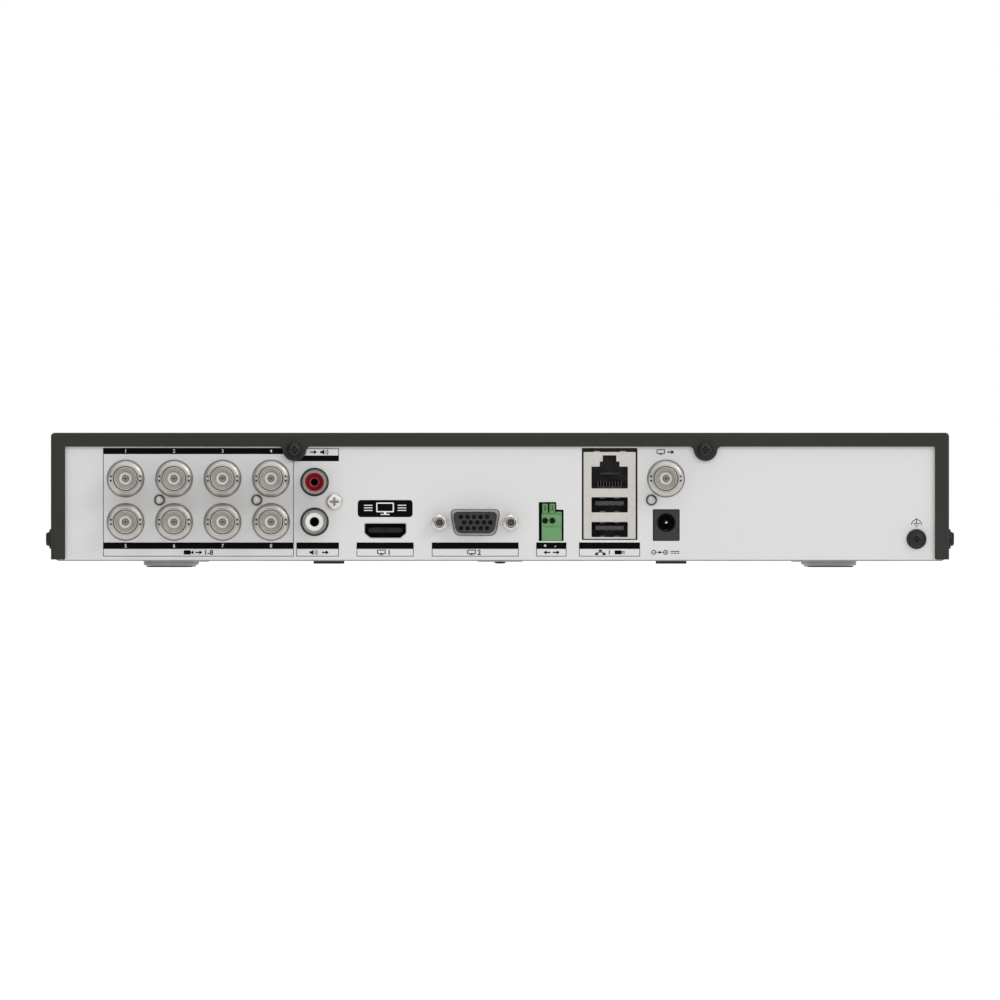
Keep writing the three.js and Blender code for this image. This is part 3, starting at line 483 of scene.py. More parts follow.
def print_ink(name, colour, patch):
    """Screen-printed ink, thinner in a few places."""
    s = Surface(name, colour, 0.6, Specular_IOR_Level=0.04)
    s.tint(s.ramp(s.noise(0.9, 4), 0.6, 0.85, 0.0, 0.5), patch)
    s.vary_roughness(s.noise(0.5, 3), 0.52, 0.7)
    s.bump(s.noise(0.12, 2), 0.003)
    return s.material


def gloss_black():
    s = Surface("polished_window", linear(12, 12, 14), 0.08, Specular_IOR_Level=0.6)
    s.tint(s.ramp(s.noise(22, 3), 0.5, 0.9, 0.0, 0.4), linear(24, 24, 27))
    s.vary_roughness(s.noise(6, 5), 0.04, 0.14)
    s.bump(s.noise(30, 2), 0.01)
    return s.material


def clear_lens():
    s = Surface("light_lens", linear(206, 214, 218), 0.22, Specular_IOR_Level=0.6)
    s.tint(s.ramp(s.noise(0.8, 3), 0.4, 0.8, 0.0, 0.5), linear(168, 180, 186))
    s.vary_roughness(s.noise(0.5, 3), 0.15, 0.35)
    s.bump(s.cells(0.35), 0.02)
    return s.material


def laminate():
    """Green solder mask over copper tracks."""
    s = Surface("green_laminate", linear(24, 92, 52), 0.4)
    tracks = s.ramp(s.cells(3.2), 0.0, 0.9)
    s.tint(s.ramp(tracks, 0.3, 0.5, 0.0, 0.6), linear(40, 120, 70))
    s.tint(s.ramp(s.noise(6, 5), 0.5, 0.8, 0.0, 0.5), linear(16, 70, 40))
    s.vary_roughness(s.noise(3, 4), 0.3, 0.5)
    s.bump(tracks, 0.04)
    return s.material


def cast_metal(name, colour):
    s = Surface(name, colour, 0.42, 1.0)
    s.tint(s.ramp(s.noise(6, 5), 0.45, 0.8, 0.0, 0.5), tuple(c * 0.75 for c in colour[:3]) + (1,))
    s.vary_roughness(s.noise(2, 4), 0.34, 0.55)
    s.bump(s.noise(0.6, 4), 0.03)
    return s.material


def pad_rubber():
    s = Surface("pad_rubber", linear(84, 84, 84), 0.8, Specular_IOR_Level=0.25)
    s.tint(s.ramp(s.noise(3, 5), 0.45, 0.8, 0.0, 0.6), linear(104, 103, 102))
    s.vary_roughness(s.noise(1, 4), 0.7, 0.9)
    s.bump(s.noise(0.3, 3), 0.03)
    return s.material


DARK_PAINT = powder_coat("dark_cover_paint", linear(47, 46, 43), linear(54, 53, 50))
PALE_PAINT = pale_paint()
ZINC = zinc_steel()
BARREL = nickel("barrel_nickel", linear(186, 182, 178), 0.34, 0.48)
# The liner's nickel is lighter than the barrel's: painted light inside the bore.
LINER_PAINTED_LIGHT = nickel("liner_nickel_painted_light", linear(218, 215, 210), 0.34, 0.48)
BRIGHT = nickel("bright_nickel", linear(206, 202, 198), 0.2, 0.34)
SATIN = nickel("satin_nickel", linear(188, 184, 180), 0.32, 0.46)
DULL = nickel("dull_contact", linear(128, 126, 123), 0.35, 0.5)
# Dark nickel for painted shade: rings, plugs, collars and contacts drawn dark where they sit in shade.
NICKEL_PAINTED_SHADE = nickel("nickel_painted_shade", linear(92, 91, 90), 0.35, 0.5)
BLACK_SCREW = black_plating("black_plating")
BLACK = moulded("port_black", linear(26, 26, 26), linear(38, 38, 37))
# Black port plastic drawn lighter grey: painted light inside the network and serial-bus mouths.
CAVITY_PAINTED_LIGHT = moulded("port_plastic_painted_light", linear(48, 48, 48), linear(60, 60, 59), 0.5)
# Near-black for painted shade: dark pieces put in gaps, holes and port interiors where shade falls.
BLACK_PAINTED_SHADE = moulded("black_painted_shade", linear(9, 9, 9), linear(14, 14, 14), 0.8)
BEZEL_BLACK = moulded("bezel_black", linear(30, 30, 31), linear(40, 40, 41), 0.48, 0.5, 0.03)
GREY = moulded("block_grey", linear(206, 204, 199), linear(190, 188, 183))
CORE = moulded("core_white", linear(200, 198, 193), linear(184, 182, 177), 0.4)
RED = moulded("audio_red", linear(146, 20, 32), linear(124, 14, 26), 0.4)
WHITE = moulded("audio_white", linear(216, 215, 211), linear(198, 197, 193), 0.45)
GREEN = moulded("terminal_green", linear(92, 140, 88), linear(106, 154, 100), 0.45)
RUBBER = pad_rubber()
INK_BLACK = print_ink("black_ink", linear(5, 5, 5), linear(16, 16, 16))
INK_WHITE = print_ink("white_ink", linear(226, 226, 226), linear(190, 190, 190))
INK_GREY = print_ink("grey_ink", linear(96, 96, 96), linear(120, 120, 120))
WINDOW = gloss_black()
LENS = clear_lens()
LAMINATE = laminate()
CAST = cast_metal("cast_aluminium", linear(170, 171, 173))
HEATSINK = cast_metal("anodised_heatsink", linear(188, 189, 192))
CABLE = moulded("cable_red", linear(128, 26, 26), linear(150, 40, 36), 0.5)


# ---- Top cover: folded steel with a rear lip, two screw tabs and side vents ----
COVER_T = 1.0
LIP_SIDE = 5.0
LIP_TOP = 4.9
TAB_R = 4.15
TAB_SINK = 0.9  # how far a tab's centre lies below the lip's edge
TAB_FILLET = 1.5
TAB_X = abs(node_centre("cover_screw_rear_left").x)
VENT_COUNT = 16
VENT_PITCH = 6.5
VENT_SIZE = (2.4, 14.0)
VENT_Z = 27.0
SIDE_SCREW_YS = sorted({round(node_centre(f"cover_screw_left_{end}").y, 2) for end in ("front", "back")})
SIDE_SCREW_Z = node_centre("cover_screw_left_front").z
SCREW_HOLE_R = 1.7
THROUGH = 170.0  # reaches past both sides of the case


def tab_edge(x, top):
    """A round tab hanging from the lip's edge, from its left fillet to its right one."""
    rise = TAB_FILLET - TAB_SINK
    run = math.sqrt((TAB_R + TAB_FILLET) ** 2 - rise**2)
    lean = math.atan2(rise, run)
    fillet_steps, tab_steps = 8, 32
    left = []
    for k in range(fillet_steps + 1):
        angle = math.pi / 2 + (lean - math.pi / 2) * k / fillet_steps
        left.append(on_arc(x - run, top - TAB_FILLET, TAB_FILLET, angle))
    tab = []
    for k in range(1, tab_steps):
        angle = math.pi + lean + (math.pi - 2 * lean) * k / tab_steps
        tab.append(on_arc(x, top - TAB_SINK, TAB_R, angle))
    right = [(2 * x - px, pz) for px, pz in reversed(left)]
    return [*left, *tab, *right]


def lip_opening():
    """The edge of the rear opening that the lip leaves, with its tabs and trimmed lower corners."""
    low, top, inner = COVER_LOW.z, TOP_Z - LIP_TOP, HALF_WIDTH - LIP_SIDE
    trim = 1.4
    corner = soften([(-inner - trim, low), (-inner, low), (-inner, low + trim)], trim, 5, closed=False)
    left = [(-inner - trim, low - 5), *corner, (-inner, top)]
    right = [(-x, z) for x, z in reversed(left)]
    return [*left, *tab_edge(-TAB_X, top), *tab_edge(TAB_X, top), *right]


def side_screw_holes():
    holes = []
    for y in SIDE_SCREW_YS:
        hole = sideways(rod(SCREW_HOLE_R, -THROUGH, THROUGH, sides=32))
        holes.append(shifted(hole, 0, y, SIDE_SCREW_Z))
    return holes


def vent_slots():
    slots = []
    for i in range(VENT_COUNT):
        slot = sideways(plate([slot_outline(*VENT_SIZE)], -THROUGH, THROUGH))
        slots.append(shifted(slot, 0, (i - (VENT_COUNT - 1) / 2) * VENT_PITCH, VENT_Z))
    return joined(slots)


def top_cover():
    bend = 1.3

    def folds(middle, direction):
        top_long = middle.z > TOP_Z - 0.1 and (abs(direction.y) > 0.9 or middle.y > 0)
        rear_upright = abs(direction.z) > 0.9 and middle.y > 0
        return top_long or rear_upright

    outer = block(
        -HALF_WIDTH, HALF_WIDTH, COVER_LOW.y, COVER_HIGH.y, COVER_LOW.z, TOP_Z, bend, 5, folds
    )
    inside = block(
        -HALF_WIDTH + COVER_T, HALF_WIDTH - COVER_T, COVER_LOW.y - 5, COVER_HIGH.y - COVER_T,
        COVER_LOW.z - 5, TOP_Z - COVER_T, 0.4, 2,
    )
    opening = plate([lip_opening()], COVER_HIGH.y - 3, COVER_HIGH.y + 3)
    tab_hole_z = node_centre("cover_screw_rear_left").z
    tab_holes = [rod(SCREW_HOLE_R, 100, 120, x, tab_hole_z) for x in (-TAB_X, TAB_X)]
    shell = boolean(outer, [inside, opening, vent_slots(), *tab_holes, *side_screw_holes()])
    made = piece("cover_shell", shell, DARK_PAINT, replaces=["top_cover"], sharp=30)
    round_edges(made, 0.12)


# ---- Base pan: zinc-plated tray with stamped feet, fixing bosses, drive mounds and vents ----
PAN_T = 0.8
FLOOR_Z = BASE_Z + PAN_T
FEET = [node_centre(f"foot_pad_{end}_{side}") for end in ("front", "rear") for side in ("left", "right")]
FOOT_R = 9.15
FOOT_BOTTOM = 0.55
BOSS_R = 8.05
BOSS_BOTTOM = 1.65
BEZEL_SCREWS = [node_centre(f"bezel_screw_{side}") for side in ("left", "centre", "right")]
DRIVE = node_centre("hard_drive")
DRIVE_HOLES = [(DRIVE.x + dx, DRIVE.y + side * 47.625) for dx in (-31.72, 12.73) for side in (-1, 1)]
MOUND_TOP = 6.0
CLIP_X = 60.8
CLIP_WIDTH = 10.9
FLOOR_SLOTS = 6
FLOOR_SLOT_PITCH = 7
FLOOR_SLOT_SIZE = (3.0, 26.0)


def stamped_cup(radius, bottom, corner, hole=0.0):
    """The outside of a cup pressed down from the pan's floor, and what is cut out of it."""
    wall = soften([(0, bottom), (radius, bottom), (radius, BASE_Z), (radius + 0.7, BASE_Z)], corner, 5, False)
    outside = turned([*wall, (radius + 0.7, FLOOR_Z - 0.05), (0, FLOOR_Z - 0.05)], 72)
    inside = bottom + PAN_T
    hollow = soften([(hole, inside), (radius - PAN_T, inside), (radius - PAN_T, FLOOR_Z + 3)], 0.5, 4, False)
    if hole:
        hollow = [(0, -1), (hole, -1), *hollow]
    return upright(outside), upright(turned([*hollow, (0, FLOOR_Z + 3)], 72))


def drive_mound():
    """A mound pressed up from the floor under a drive screw, and what is cut out of it."""
    mound = [(0, BASE_Z + 0.1), (7, BASE_Z + 0.1), (5, MOUND_TOP), (0, MOUND_TOP)]
    under = MOUND_TOP - PAN_T
    dimple = [(0, 0.5), (6.75, 0.5), (4.3, under), (1.8, under), (1.8, 20), (0, 20)]
    return upright(turned(mound)), upright(turned(dimple))


def pan_cuts():
    """Floor vents, slots for the bezel's clips, windows in the sides and the cover screws' holes."""
    cuts = []
    for i in range(FLOOR_SLOTS):
        slot = upright(plate([slot_outline(*FLOOR_SLOT_SIZE)], -1, 20))
        cuts.append(shifted(slot, -105 + i * FLOOR_SLOT_PITCH, -52, 10))
    reach = CLIP_WIDTH / 2 + 0.4
    for side in (-1, 1):
        x = side * CLIP_X
        cuts.append(block(x - reach, x + reach, -104.5, -101.5, -1, 8))
        walls = sorted((side * 160, side * 150))
        cuts += [block(*walls, y0, y0 + 53, 18, 36) for y0 in (-55, 2)]
    return cuts + side_screw_holes()


def base_pan():
    def long_bottom(middle, direction):
        return middle.z < BASE_Z + 0.1 and abs(direction.y) > 0.9

    def long_inner_bottom(middle, direction):
        return middle.z < FLOOR_Z + 0.1 and abs(direction.y) > 0.9

    half, low, high = PAN_HIGH.x, PAN_LOW.y, PAN_HIGH.y - 0.85
    inner_half = half - PAN_T
    tray = block(-half, half, low, high, BASE_Z, PAN_HIGH.z, 1.7, 5, long_bottom)
    inside = block(-inner_half, inner_half, low + PAN_T, high + 5, FLOOR_Z, 60, 0.9, 4, long_inner_bottom)
    front_cut = block(-inner_half, inner_half, low - 1, low + PAN_T + 1, 15, 60)
    body = boolean(tray, [inside, front_cut])
    pressed = [(*stamped_cup(FOOT_R, FOOT_BOTTOM, 1.0), foot) for foot in FEET]
    pressed += [(*stamped_cup(BOSS_R, BOSS_BOTTOM, 0.35, SCREW_HOLE_R), boss) for boss in BEZEL_SCREWS]
    pressed += [(*drive_mound(), Vector((x, y, 0))) for x, y in DRIVE_HOLES]
    for outside, _, place in pressed:
        body = boolean(body, [shifted(outside, place.x, place.y)], "UNION")
    for _, hollow, place in pressed:
        body = boolean(body, [shifted(hollow, place.x, place.y)])
    body = boolean(body, pan_cuts())
    made = piece("base_pan_shell", body, ZINC, replaces=["base_pan"], sharp=30)
    round_edges(made, 0.1)


def foot_pads():
    """Rubber pads with a raised rim, flat on the ground."""
    rim = [(0, 0.12), (6.2, 0.12), (6.5, 0), (7.7, 0), (8.1, 0.2), (8.1, 0.5), (0, 0.5)]
    for node in ("front_left", "front_right", "rear_left", "rear_right"):
        centre = node_centre(f"foot_pad_{node}")
        pad = upright(turned(soften(rim, 0.12, 2, False), 72), centre.x, centre.y)
        piece(f"rubber_pad_{node}", pad, RUBBER, replaces=[f"foot_pad_{node}"])


# ---- Screws: bearing face at y = 0, head towards -y ----
def cross_cutter(size, depth, top_y, slot=0.0):
    """A tapered cross recess that opens at top_y, with a straight slot across it if slot is given."""
    cutters = []
    for turn in (0, math.pi / 2):
        bm = bmesh.new()
        corners = []
        for y, reach, width in ((top_y - 0.4, size, size * 0.22), (top_y + depth, size * 0.4, size * 0.14)):
            for sx, sz in ((-1, -1), (1, -1), (1, 1), (-1, 1)):
                corners.append(bm.verts.new((sx * reach, y, sz * width)))
        bmesh.ops.convex_hull(bm, input=corners)
        cutters.append(moved(to_mesh(bm), Matrix.Rotation(turn, 4, "Y")))
    if slot:
        cutters.append(block(-slot, slot, top_y - 1, top_y + depth * 0.6, -0.33, 0.33))
    return cutters


def screw(head_r, head_h, shank_r, length, flange=None, recess=0.6, slot=0.0):
    """A screw whose head bears at y = 0 and stands towards -y."""
    outline = [(0, length), (shank_r, length), (shank_r, 0)]
    if flange:
        flange_r, flange_t = flange
        outline += [(flange_r, 0), (flange_r, -flange_t), (head_r, -flange_t)]
    else:
        outline += [(head_r, 0)]
    outline += [(head_r, -head_h * 0.6), (head_r * 0.8, -head_h * 0.97), (0, -head_h)]
    body = lathe(outline, 0.22, 3, 48, closed=False)
    return boolean(body, cross_cutter(head_r * recess, head_h * 0.6, -head_h, slot))


def case_screws():
    turns = {"rear": math.pi, "left": -math.pi / 2, "right": math.pi / 2}
    names = ["rear_left", "rear_right", "left_front", "left_back", "right_front", "right_back"]
    head_h = 2.0
    for name in names:
        low, high = node_box(f"cover_screw_{name}")
        side = name.split("_")[0]
        place = (low + high) / 2
        if side == "rear":
            place.y = high.y - head_h
        elif side == "left":
            place.x = low.x + head_h
        else:
            place.x = high.x - head_h
        matrix = Matrix.Translation(place * MM) @ Matrix.Rotation(turns[side], 4, "Z")
        flange = (3.0, 0.4) if side == "rear" else (3.5, 0.75)
        piece(
            f"case_screw_{name}", screw(2.55, head_h, 1.45, 6, flange, slot=1.45), BLACK_SCREW,
            replaces=[f"cover_screw_{name}"], at=matrix,
        )
    for side, centre in zip(("left", "centre", "right"), BEZEL_SCREWS):
        place = Vector((centre.x, centre.y, 1.6)) * MM
        matrix = Matrix.Translation(place) @ Matrix.Rotation(math.pi / 2, 4, "X")
        piece(
            f"base_screw_{side}", screw(2.0, 0.6, 1.1, 6), BLACK_SCREW,
            replaces=[f"bezel_screw_{side}"], at=matrix,
        )


# ---- Flat print ----
INK_T = 0.03


def flat(outlines):
    return plate(outlines, -INK_T, 0)


def ring_outline(x, z, outer, inner, start, end, steps=24):
    """Part of a ring, from start to end in degrees, clockwise from the top."""
    angles = [math.radians(start + (end - start) * k / steps) for k in range(steps + 1)]
    outside = [(x + outer * math.sin(a), z + outer * math.cos(a)) for a in angles]
    inside = [(x + inner * math.sin(a), z + inner * math.cos(a)) for a in reversed(angles)]
    return outside + inside


def lettering(text, x, z, height, weight=0.0):
    """Generic marking in the built-in font, centred on x, its foot at z."""
    data = bpy.data.curves.new("marking", "FONT")
    data.body = text
    data.size = height / 0.7
    data.align_x = "CENTER"
    data.extrude = INK_T / 2
    data.offset = weight
    data.resolution_u = 4
    mesh = curve_mesh(data)
    moved(mesh, Matrix.Rotation(math.pi / 2, 4, "X"))
    return shifted(mesh, x, -INK_T / 2, z)


def rule(x0, x1, z0, z1):
    return flat([rectangle(min(x0, x1), max(x0, x1), min(z0, z1), max(z0, z1))])


# ---- Front bezel ----
BEZEL_LOW = node_box("front_bezel")[0]
BEZEL_BACK = -109.3
BEZEL_Z0 = BASE_Z + 0.1
WINDOW_LOW, WINDOW_HIGH = node_box("indicator_window")
LIGHT_XS = (-126.0, -102.0, -78.0)
LIGHT_Z = (WINDOW_LOW.z + WINDOW_HIGH.z) / 2


def front_bezel():
    front = BEZEL_LOW.y

    def face_edges(middle, direction):
        return middle.y < front + 0.1

    rim = block(-HALF_WIDTH, HALF_WIDTH, front, BEZEL_BACK, BEZEL_Z0, TOP_Z, 1.8, 5, face_edges)
    wall = 2.2
    hollow = block(
        -HALF_WIDTH + wall, HALF_WIDTH - wall, front + 3, BEZEL_BACK + 1, BEZEL_Z0 + wall, TOP_Z - wall
    )
    groove = block(-HALF_WIDTH - 1, HALF_WIDTH + 1, front - 1, front + 0.8, 13.6, 14.8)
    gap = 0.15
    seat_outline = rectangle(
        WINDOW_LOW.x - gap, WINDOW_HIGH.x + gap, WINDOW_LOW.z - gap, WINDOW_HIGH.z + gap, 2, 6
    )
    seat = plate([seat_outline], front - 1, front + 1.8)
    light_gap = block(LIGHT_XS[0] - 5, LIGHT_XS[2] + 5, front, front + 4, LIGHT_Z - 3.5, LIGHT_Z + 3.5)
    body = boolean(rim, [hollow, groove, seat, light_gap])
    clips = []
    for side in (-1, 1):
        x0, x1 = side * CLIP_X - CLIP_WIDTH / 2, side * CLIP_X + CLIP_WIDTH / 2
        clips.append(block(x0, x1, front + 4, -101.7, BASE_Z - 1.25, BASE_Z - 0.1, 0.15))
        clips.append(block(x0, x1, -104.3, -102.2, BASE_Z - 0.3, FLOOR_Z + 0.6, 0.1))
    for screw_place in BEZEL_SCREWS:
        x = screw_place.x
        lug = block(x - 6, x + 6, front + 2, screw_place.y + 3, FLOOR_Z + 0.3, 8.5, 0.3)
        clips.append(boolean(lug, [upright(rod(1.2, 2, 8), x, screw_place.y)]))
    shell = joined([body, *clips])
    made = piece("bezel_shell", shell, BEZEL_BLACK, replaces=["front_bezel"], sharp=30)
    round_edges(made, 0.2)


def indicator_window():
    front = WINDOW_LOW.y
    outline = rectangle(WINDOW_LOW.x, WINDOW_HIGH.x, WINDOW_LOW.z, WINDOW_HIGH.z, 2, 8)
    holes = [circle(x, LIGHT_Z, 1.7) for x in LIGHT_XS]
    glass = plate([outline, *holes], front, WINDOW_HIGH.y, 0.2)
    piece("window_plate", glass, WINDOW, replaces=["indicator_window"])
    low, high = node_box("light_guide")
    bar = block(low.x, high.x, front + 1.8, high.y, low.z, high.z, 0.3)
    pin = [(0, front), (1.6, front + 0.35), (1.6, front + 3), (0, front + 3)]
    pins = [shifted(lathe(pin, 0.3, 3, closed=False), x, 0, LIGHT_Z) for x in LIGHT_XS]
    lens = boolean(bar, pins, "UNION")
    piece("light_lens", lens, LENS, replaces=["light_guide"])
    marks = [shifted(mark, x + 5.5, 0, LIGHT_Z - 1.3) for mark, x in zip(indicator_marks(), LIGHT_XS)]
    piece("window_marks", shifted(joined(marks), 0, front), INK_GREY)


def indicator_marks():
    """A power ring, a drive disc and a network mark, each 2.6 mm tall and as thick as the ink."""
    middle, outer, inner = 1.3, 1.3, 0.95
    shade_ring = ring_outline(middle, middle, outer, inner, 50, 310)
    power = joined([flat([shade_ring]), rule(1.12, 1.48, 1.2, 2.7)])
    rim = [circle(middle, middle, outer), circle(middle, middle, inner)]
    disc = joined([flat(rim), flat([circle(middle, middle, 0.4)])])
    boxes = ((0.8, 1.8, 1.7, 2.6), (0, 1, 0, 0.9), (1.6, 2.6, 0, 0.9), (0.4, 2.2, 1.2, 1.4))
    tree = joined([rule(*box) for box in boxes])
    return power, disc, tree


# ---- What is printed on the connector panel ----
BAND_LOW, BAND_HIGH = BASE_Z + 4.25, BASE_Z + 6.5
BOX_LOW = BASE_Z + 1.6
TOP_BAND_LOW, TOP_BAND_HIGH = BASE_Z + 37.5, BASE_Z + 39.65
VIDEO_NODES = [f"video_socket_{i}" for i in range(1, 9)]
VIDEO_LEFT, VIDEO_RIGHT = -139.2, -72.35
AUDIO_LEFT, AUDIO_RIGHT = -71.4, -56.5
LABELS = [(AUDIO_LEFT, AUDIO_RIGHT), (-50.3, -30.3), (-23.9, 6.5), (12.7, 23.3), (27.7, 49.1)]  # their ends
THIN = 0.2  # the width of a thin printed line


def label_box(x0, x1):
    """The thin outline of a label, open towards the black band above it."""
    return [
        rule(x0, x0 + THIN, BOX_LOW, BAND_LOW),
        rule(x1 - THIN, x1, BOX_LOW, BAND_LOW),
        rule(x0, x1, BOX_LOW, BOX_LOW + THIN),
    ]


def arrow(x, z, direction=1):
    """An arrow 2.4 mm long about x."""
    head = [(x + direction * 0.2, z - 0.75), (x + direction * 1.2, z), (x + direction * 0.2, z + 0.75)]
    return [rule(x - direction * 1.2, x + direction * 0.3, z - 0.22, z + 0.22), flat([head])]


def camera_sign(x, z):
    lens = [(x + 0.85, z - 0.15), (x + 1.7, z - 0.7), (x + 1.7, z + 0.7), (x + 0.85, z + 0.15)]
    return [flat([rectangle(x - 1.7, x + 0.75, z - 0.75, z + 0.75, 0.25, 3)]), flat([lens])]


def speaker_sign(x, z):
    top = [(x, z + 0.95), (x - 0.8, z + 0.4), (x - 1.4, z + 0.4)]
    bottom = [(x - 1.4, z - 0.4), (x - 0.8, z - 0.4), (x, z - 0.95)]
    waves = [flat([ring_outline(x - 0.2, z, r, r - 0.26, 50, 130)]) for r in (0.95, 1.6)]
    return [flat([bottom + top]), *waves]


def screen_sign(x, z):
    frame_rim = rectangle(x - 1.5, x + 1.5, z - 0.55, z + 0.95, 0.2, 3)
    glass = rectangle(x - 1.2, x + 1.2, z - 0.27, z + 0.67)
    stand = [rule(x - 0.2, x + 0.2, z - 0.75, z - 0.55), rule(x - 0.8, x + 0.8, z - 0.95, z - 0.75)]
    return [flat([frame_rim, glass]), *stand]


def tree_sign(x, z):
    """Three joined computers, for the network."""
    boxes = []
    for dx, dz in ((0, 0.2), (-1.3, -0.95), (1.3, -0.95)):
        boxes.append(rule(x + dx - 0.55, x + dx + 0.55, z + dz, z + dz + 0.75))
    return [*boxes, rule(x - 1.42, x + 1.42, z - 0.1, z + 0.1)]


def stick_sign(x, z):
    """A plug-in memory."""
    tip = [rectangle(x + 0.95, x + 1.9, z - 0.42, z + 0.42), rectangle(x + 1.2, x + 1.65, z - 0.2, z + 0.2)]
    return [flat([rectangle(x - 1.6, x + 0.85, z - 0.7, z + 0.7, 0.3, 3)]), flat(tip)]


def earth_mark(x, z):
    """An earth sign under an arc, 3.7 mm across."""
    bars = []
    for half, drop in ((1.15, 0), (0.7, 0.6), (0.3, 1.2)):
        bars.append(rule(x - half, x + half, z - drop - 0.12, z - drop + 0.12))
    arc = flat([ring_outline(x, z - 0.4, 1.85, 1.6, -95, 95)])
    return [*bars, arc, rule(x - 0.12, x + 0.12, z, z + 1.9)]


def polarity_mark(x, z):
    """The polarity of a round plug, and the sign for direct current."""
    poles = [flat([circle(x + dx, z, 0.85), circle(x + dx, z, 0.6)]) for dx in (-4.0, 0.2)]
    signs = [rule(x - 4.4, x - 3.6, z - 0.1, z + 0.1), rule(x - 0.2, x + 0.6, z - 0.1, z + 0.1)]
    signs.append(rule(x + 0.1, x + 0.3, z - 0.4, z + 0.4))
    middle = [flat([circle(x - 1.9, z, 0.42)]), rule(x - 3.15, x - 0.65, z - 0.1, z + 0.1)]
    dashes = [rule(x + 2.0 + i * 1.1, x + 2.8 + i * 1.1, z - 0.45, z - 0.17) for i in range(3)]
    return [*poles, *signs, *middle, *dashes, rule(x + 2.0, x + 5.0, z + 0.17, z + 0.45)]


def label_number(text, x, z):
    return lettering(text, x, z - 0.85, 1.7, 0.06)


def label_signs():
    """What each label shows in place of words: what plugs in there, and which way its signal goes."""
    z = (BOX_LOW + BAND_LOW) / 2 + 0.1
    top = BASE_Z + 38.2
    signs = camera_sign(-109.2, z) + arrow(-105.6, z) + [label_number("1-8", -102.2, z)]
    signs += arrow(-65.4, top) + speaker_sign(-61.6, top)
    signs += speaker_sign(-65.4, z) + arrow(-61.3, z)
    signs += screen_sign(-41.6, z) + [label_number("1", -38.9, z)]
    signs += screen_sign(-10.0, z) + [label_number("2", -7.3, z)]
    signs += arrow(16.5, z, -1) + arrow(19.7, z)
    signs += tree_sign(35.2, z) + [rule(38.2, 38.5, z - 0.8, z + 0.8)] + stick_sign(41.8, z)
    signs += screen_sign(56.4, top) + arrow(59.9, top)
    return signs


def panel_print():
    audio_low, audio_high = BASE_Z + 37.0, BASE_Z + 39.5  # the box over the audio sockets
    black = [
        rule(VIDEO_LEFT, VIDEO_RIGHT - 1.6, TOP_BAND_LOW, TOP_BAND_HIGH),
        rule(VIDEO_LEFT, VIDEO_RIGHT, BAND_LOW, BAND_HIGH),
        rule(VIDEO_LEFT, VIDEO_LEFT + THIN, BOX_LOW, TOP_BAND_LOW),
        rule(VIDEO_RIGHT - THIN, VIDEO_RIGHT, BOX_LOW, TOP_BAND_LOW),
        rule(VIDEO_LEFT, VIDEO_RIGHT, BOX_LOW, BOX_LOW + THIN),
        rule(AUDIO_LEFT, AUDIO_RIGHT, audio_low - 2.0, audio_low),
        rule(AUDIO_RIGHT - THIN, AUDIO_RIGHT, audio_low, audio_high),
        rule(AUDIO_LEFT, AUDIO_RIGHT, audio_high - THIN, audio_high),
        *earth_mark(146.06, BASE_Z + 13.2),
        *polarity_mark(57.9, BASE_Z + 3.05),
        *label_signs(),
    ]
    for x0, x1 in LABELS:
        black.append(rule(x0, x1, BAND_LOW, BAND_HIGH))
        black += label_box(x0, x1)
    plaque = rectangle(-49.9, -30.65, BASE_Z + 15.4, BASE_Z + 21.4, 1.3, 6)
    black.append(flat([plaque]))
    piece("panel_print_black", joined(black), INK_BLACK, at=REAR)
    white = []
    for i, node in enumerate(VIDEO_NODES):
        x, _ = rear_xz(node)
        band = TOP_BAND_LOW if i < 4 else BAND_LOW
        white.append(lettering(str(i + 1), x, band + 0.5, 1.25))
    white += [lettering(sign, x, BAND_LOW + 0.5, 1.3, 0.03) for sign, x in (("+", 15.8), ("-", 19.4))]
    white += screen_mark(-40.3, BASE_Z + 18.4)
    white_mesh = shifted(joined(white), 0, -INK_T, 0)
    piece("panel_print_white", white_mesh, INK_WHITE, at=REAR)


def screen_mark(x, z):
    """A display pictogram: a framed screen on a stand, between two short stacks of bars."""
    rim = rectangle(x - 3.1, x + 3.1, z - 1.3, z + 2.1, 0.4, 4)
    glass = rectangle(x - 2.7, x + 2.7, z - 0.9, z + 1.7, 0.2, 3)
    stand = [rule(x - 0.4, x + 0.4, z - 1.9, z - 1.3), rule(x - 1.6, x + 1.6, z - 2.2, z - 1.9)]
    bars = []
    for side in (-1, 1):
        for dz in (-0.8, 0.1, 1.0):
            bars.append(rule(x + side * 4.4, x + side * 7.4, z + dz, z + dz + 0.3))
    return [flat([rim, glass]), *stand, *bars]


# ---- Rear panel ----
DIGITAL_X, DIGITAL_Z = rear_xz("digital_port_shell")
ANALOG_X = rear_xz("analog_port_shell")[0]
ANALOG_Z = rear_xz("analog_port_standoff_left")[1]
STACK_LOW, STACK_HIGH = node_box("stack_shield")
STACK_X0, STACK_X1 = -STACK_HIGH.x, -STACK_LOW.x
INLET_LOW, INLET_HIGH = node_box("power_inlet")
INLET_X, INLET_Z = rear_xz("power_pin")
EARTH_X, EARTH_Z = rear_xz("earth_washer")
AUDIO = {way: rear_xz(f"audio_sleeve_{way}") for way in ("in", "out")}
AUDIO_SCREW = rear_xz("audio_screw")
SMALL_SCREWS = {side: rear_xz(f"video_screw_{side}") for side in ("left", "right", "out")}


def digital_outline(grow, radius=0.5):
    w, h = 7.0 + grow, 2.3 + grow
    corners = [(-w, h), (-w, -0.9), (-w + 2.0, -h), (w - 2.0, -h), (w, -0.9), (w, h)]
    return soften([(x + DIGITAL_X, z + DIGITAL_Z) for x, z in corners], radius, 4)


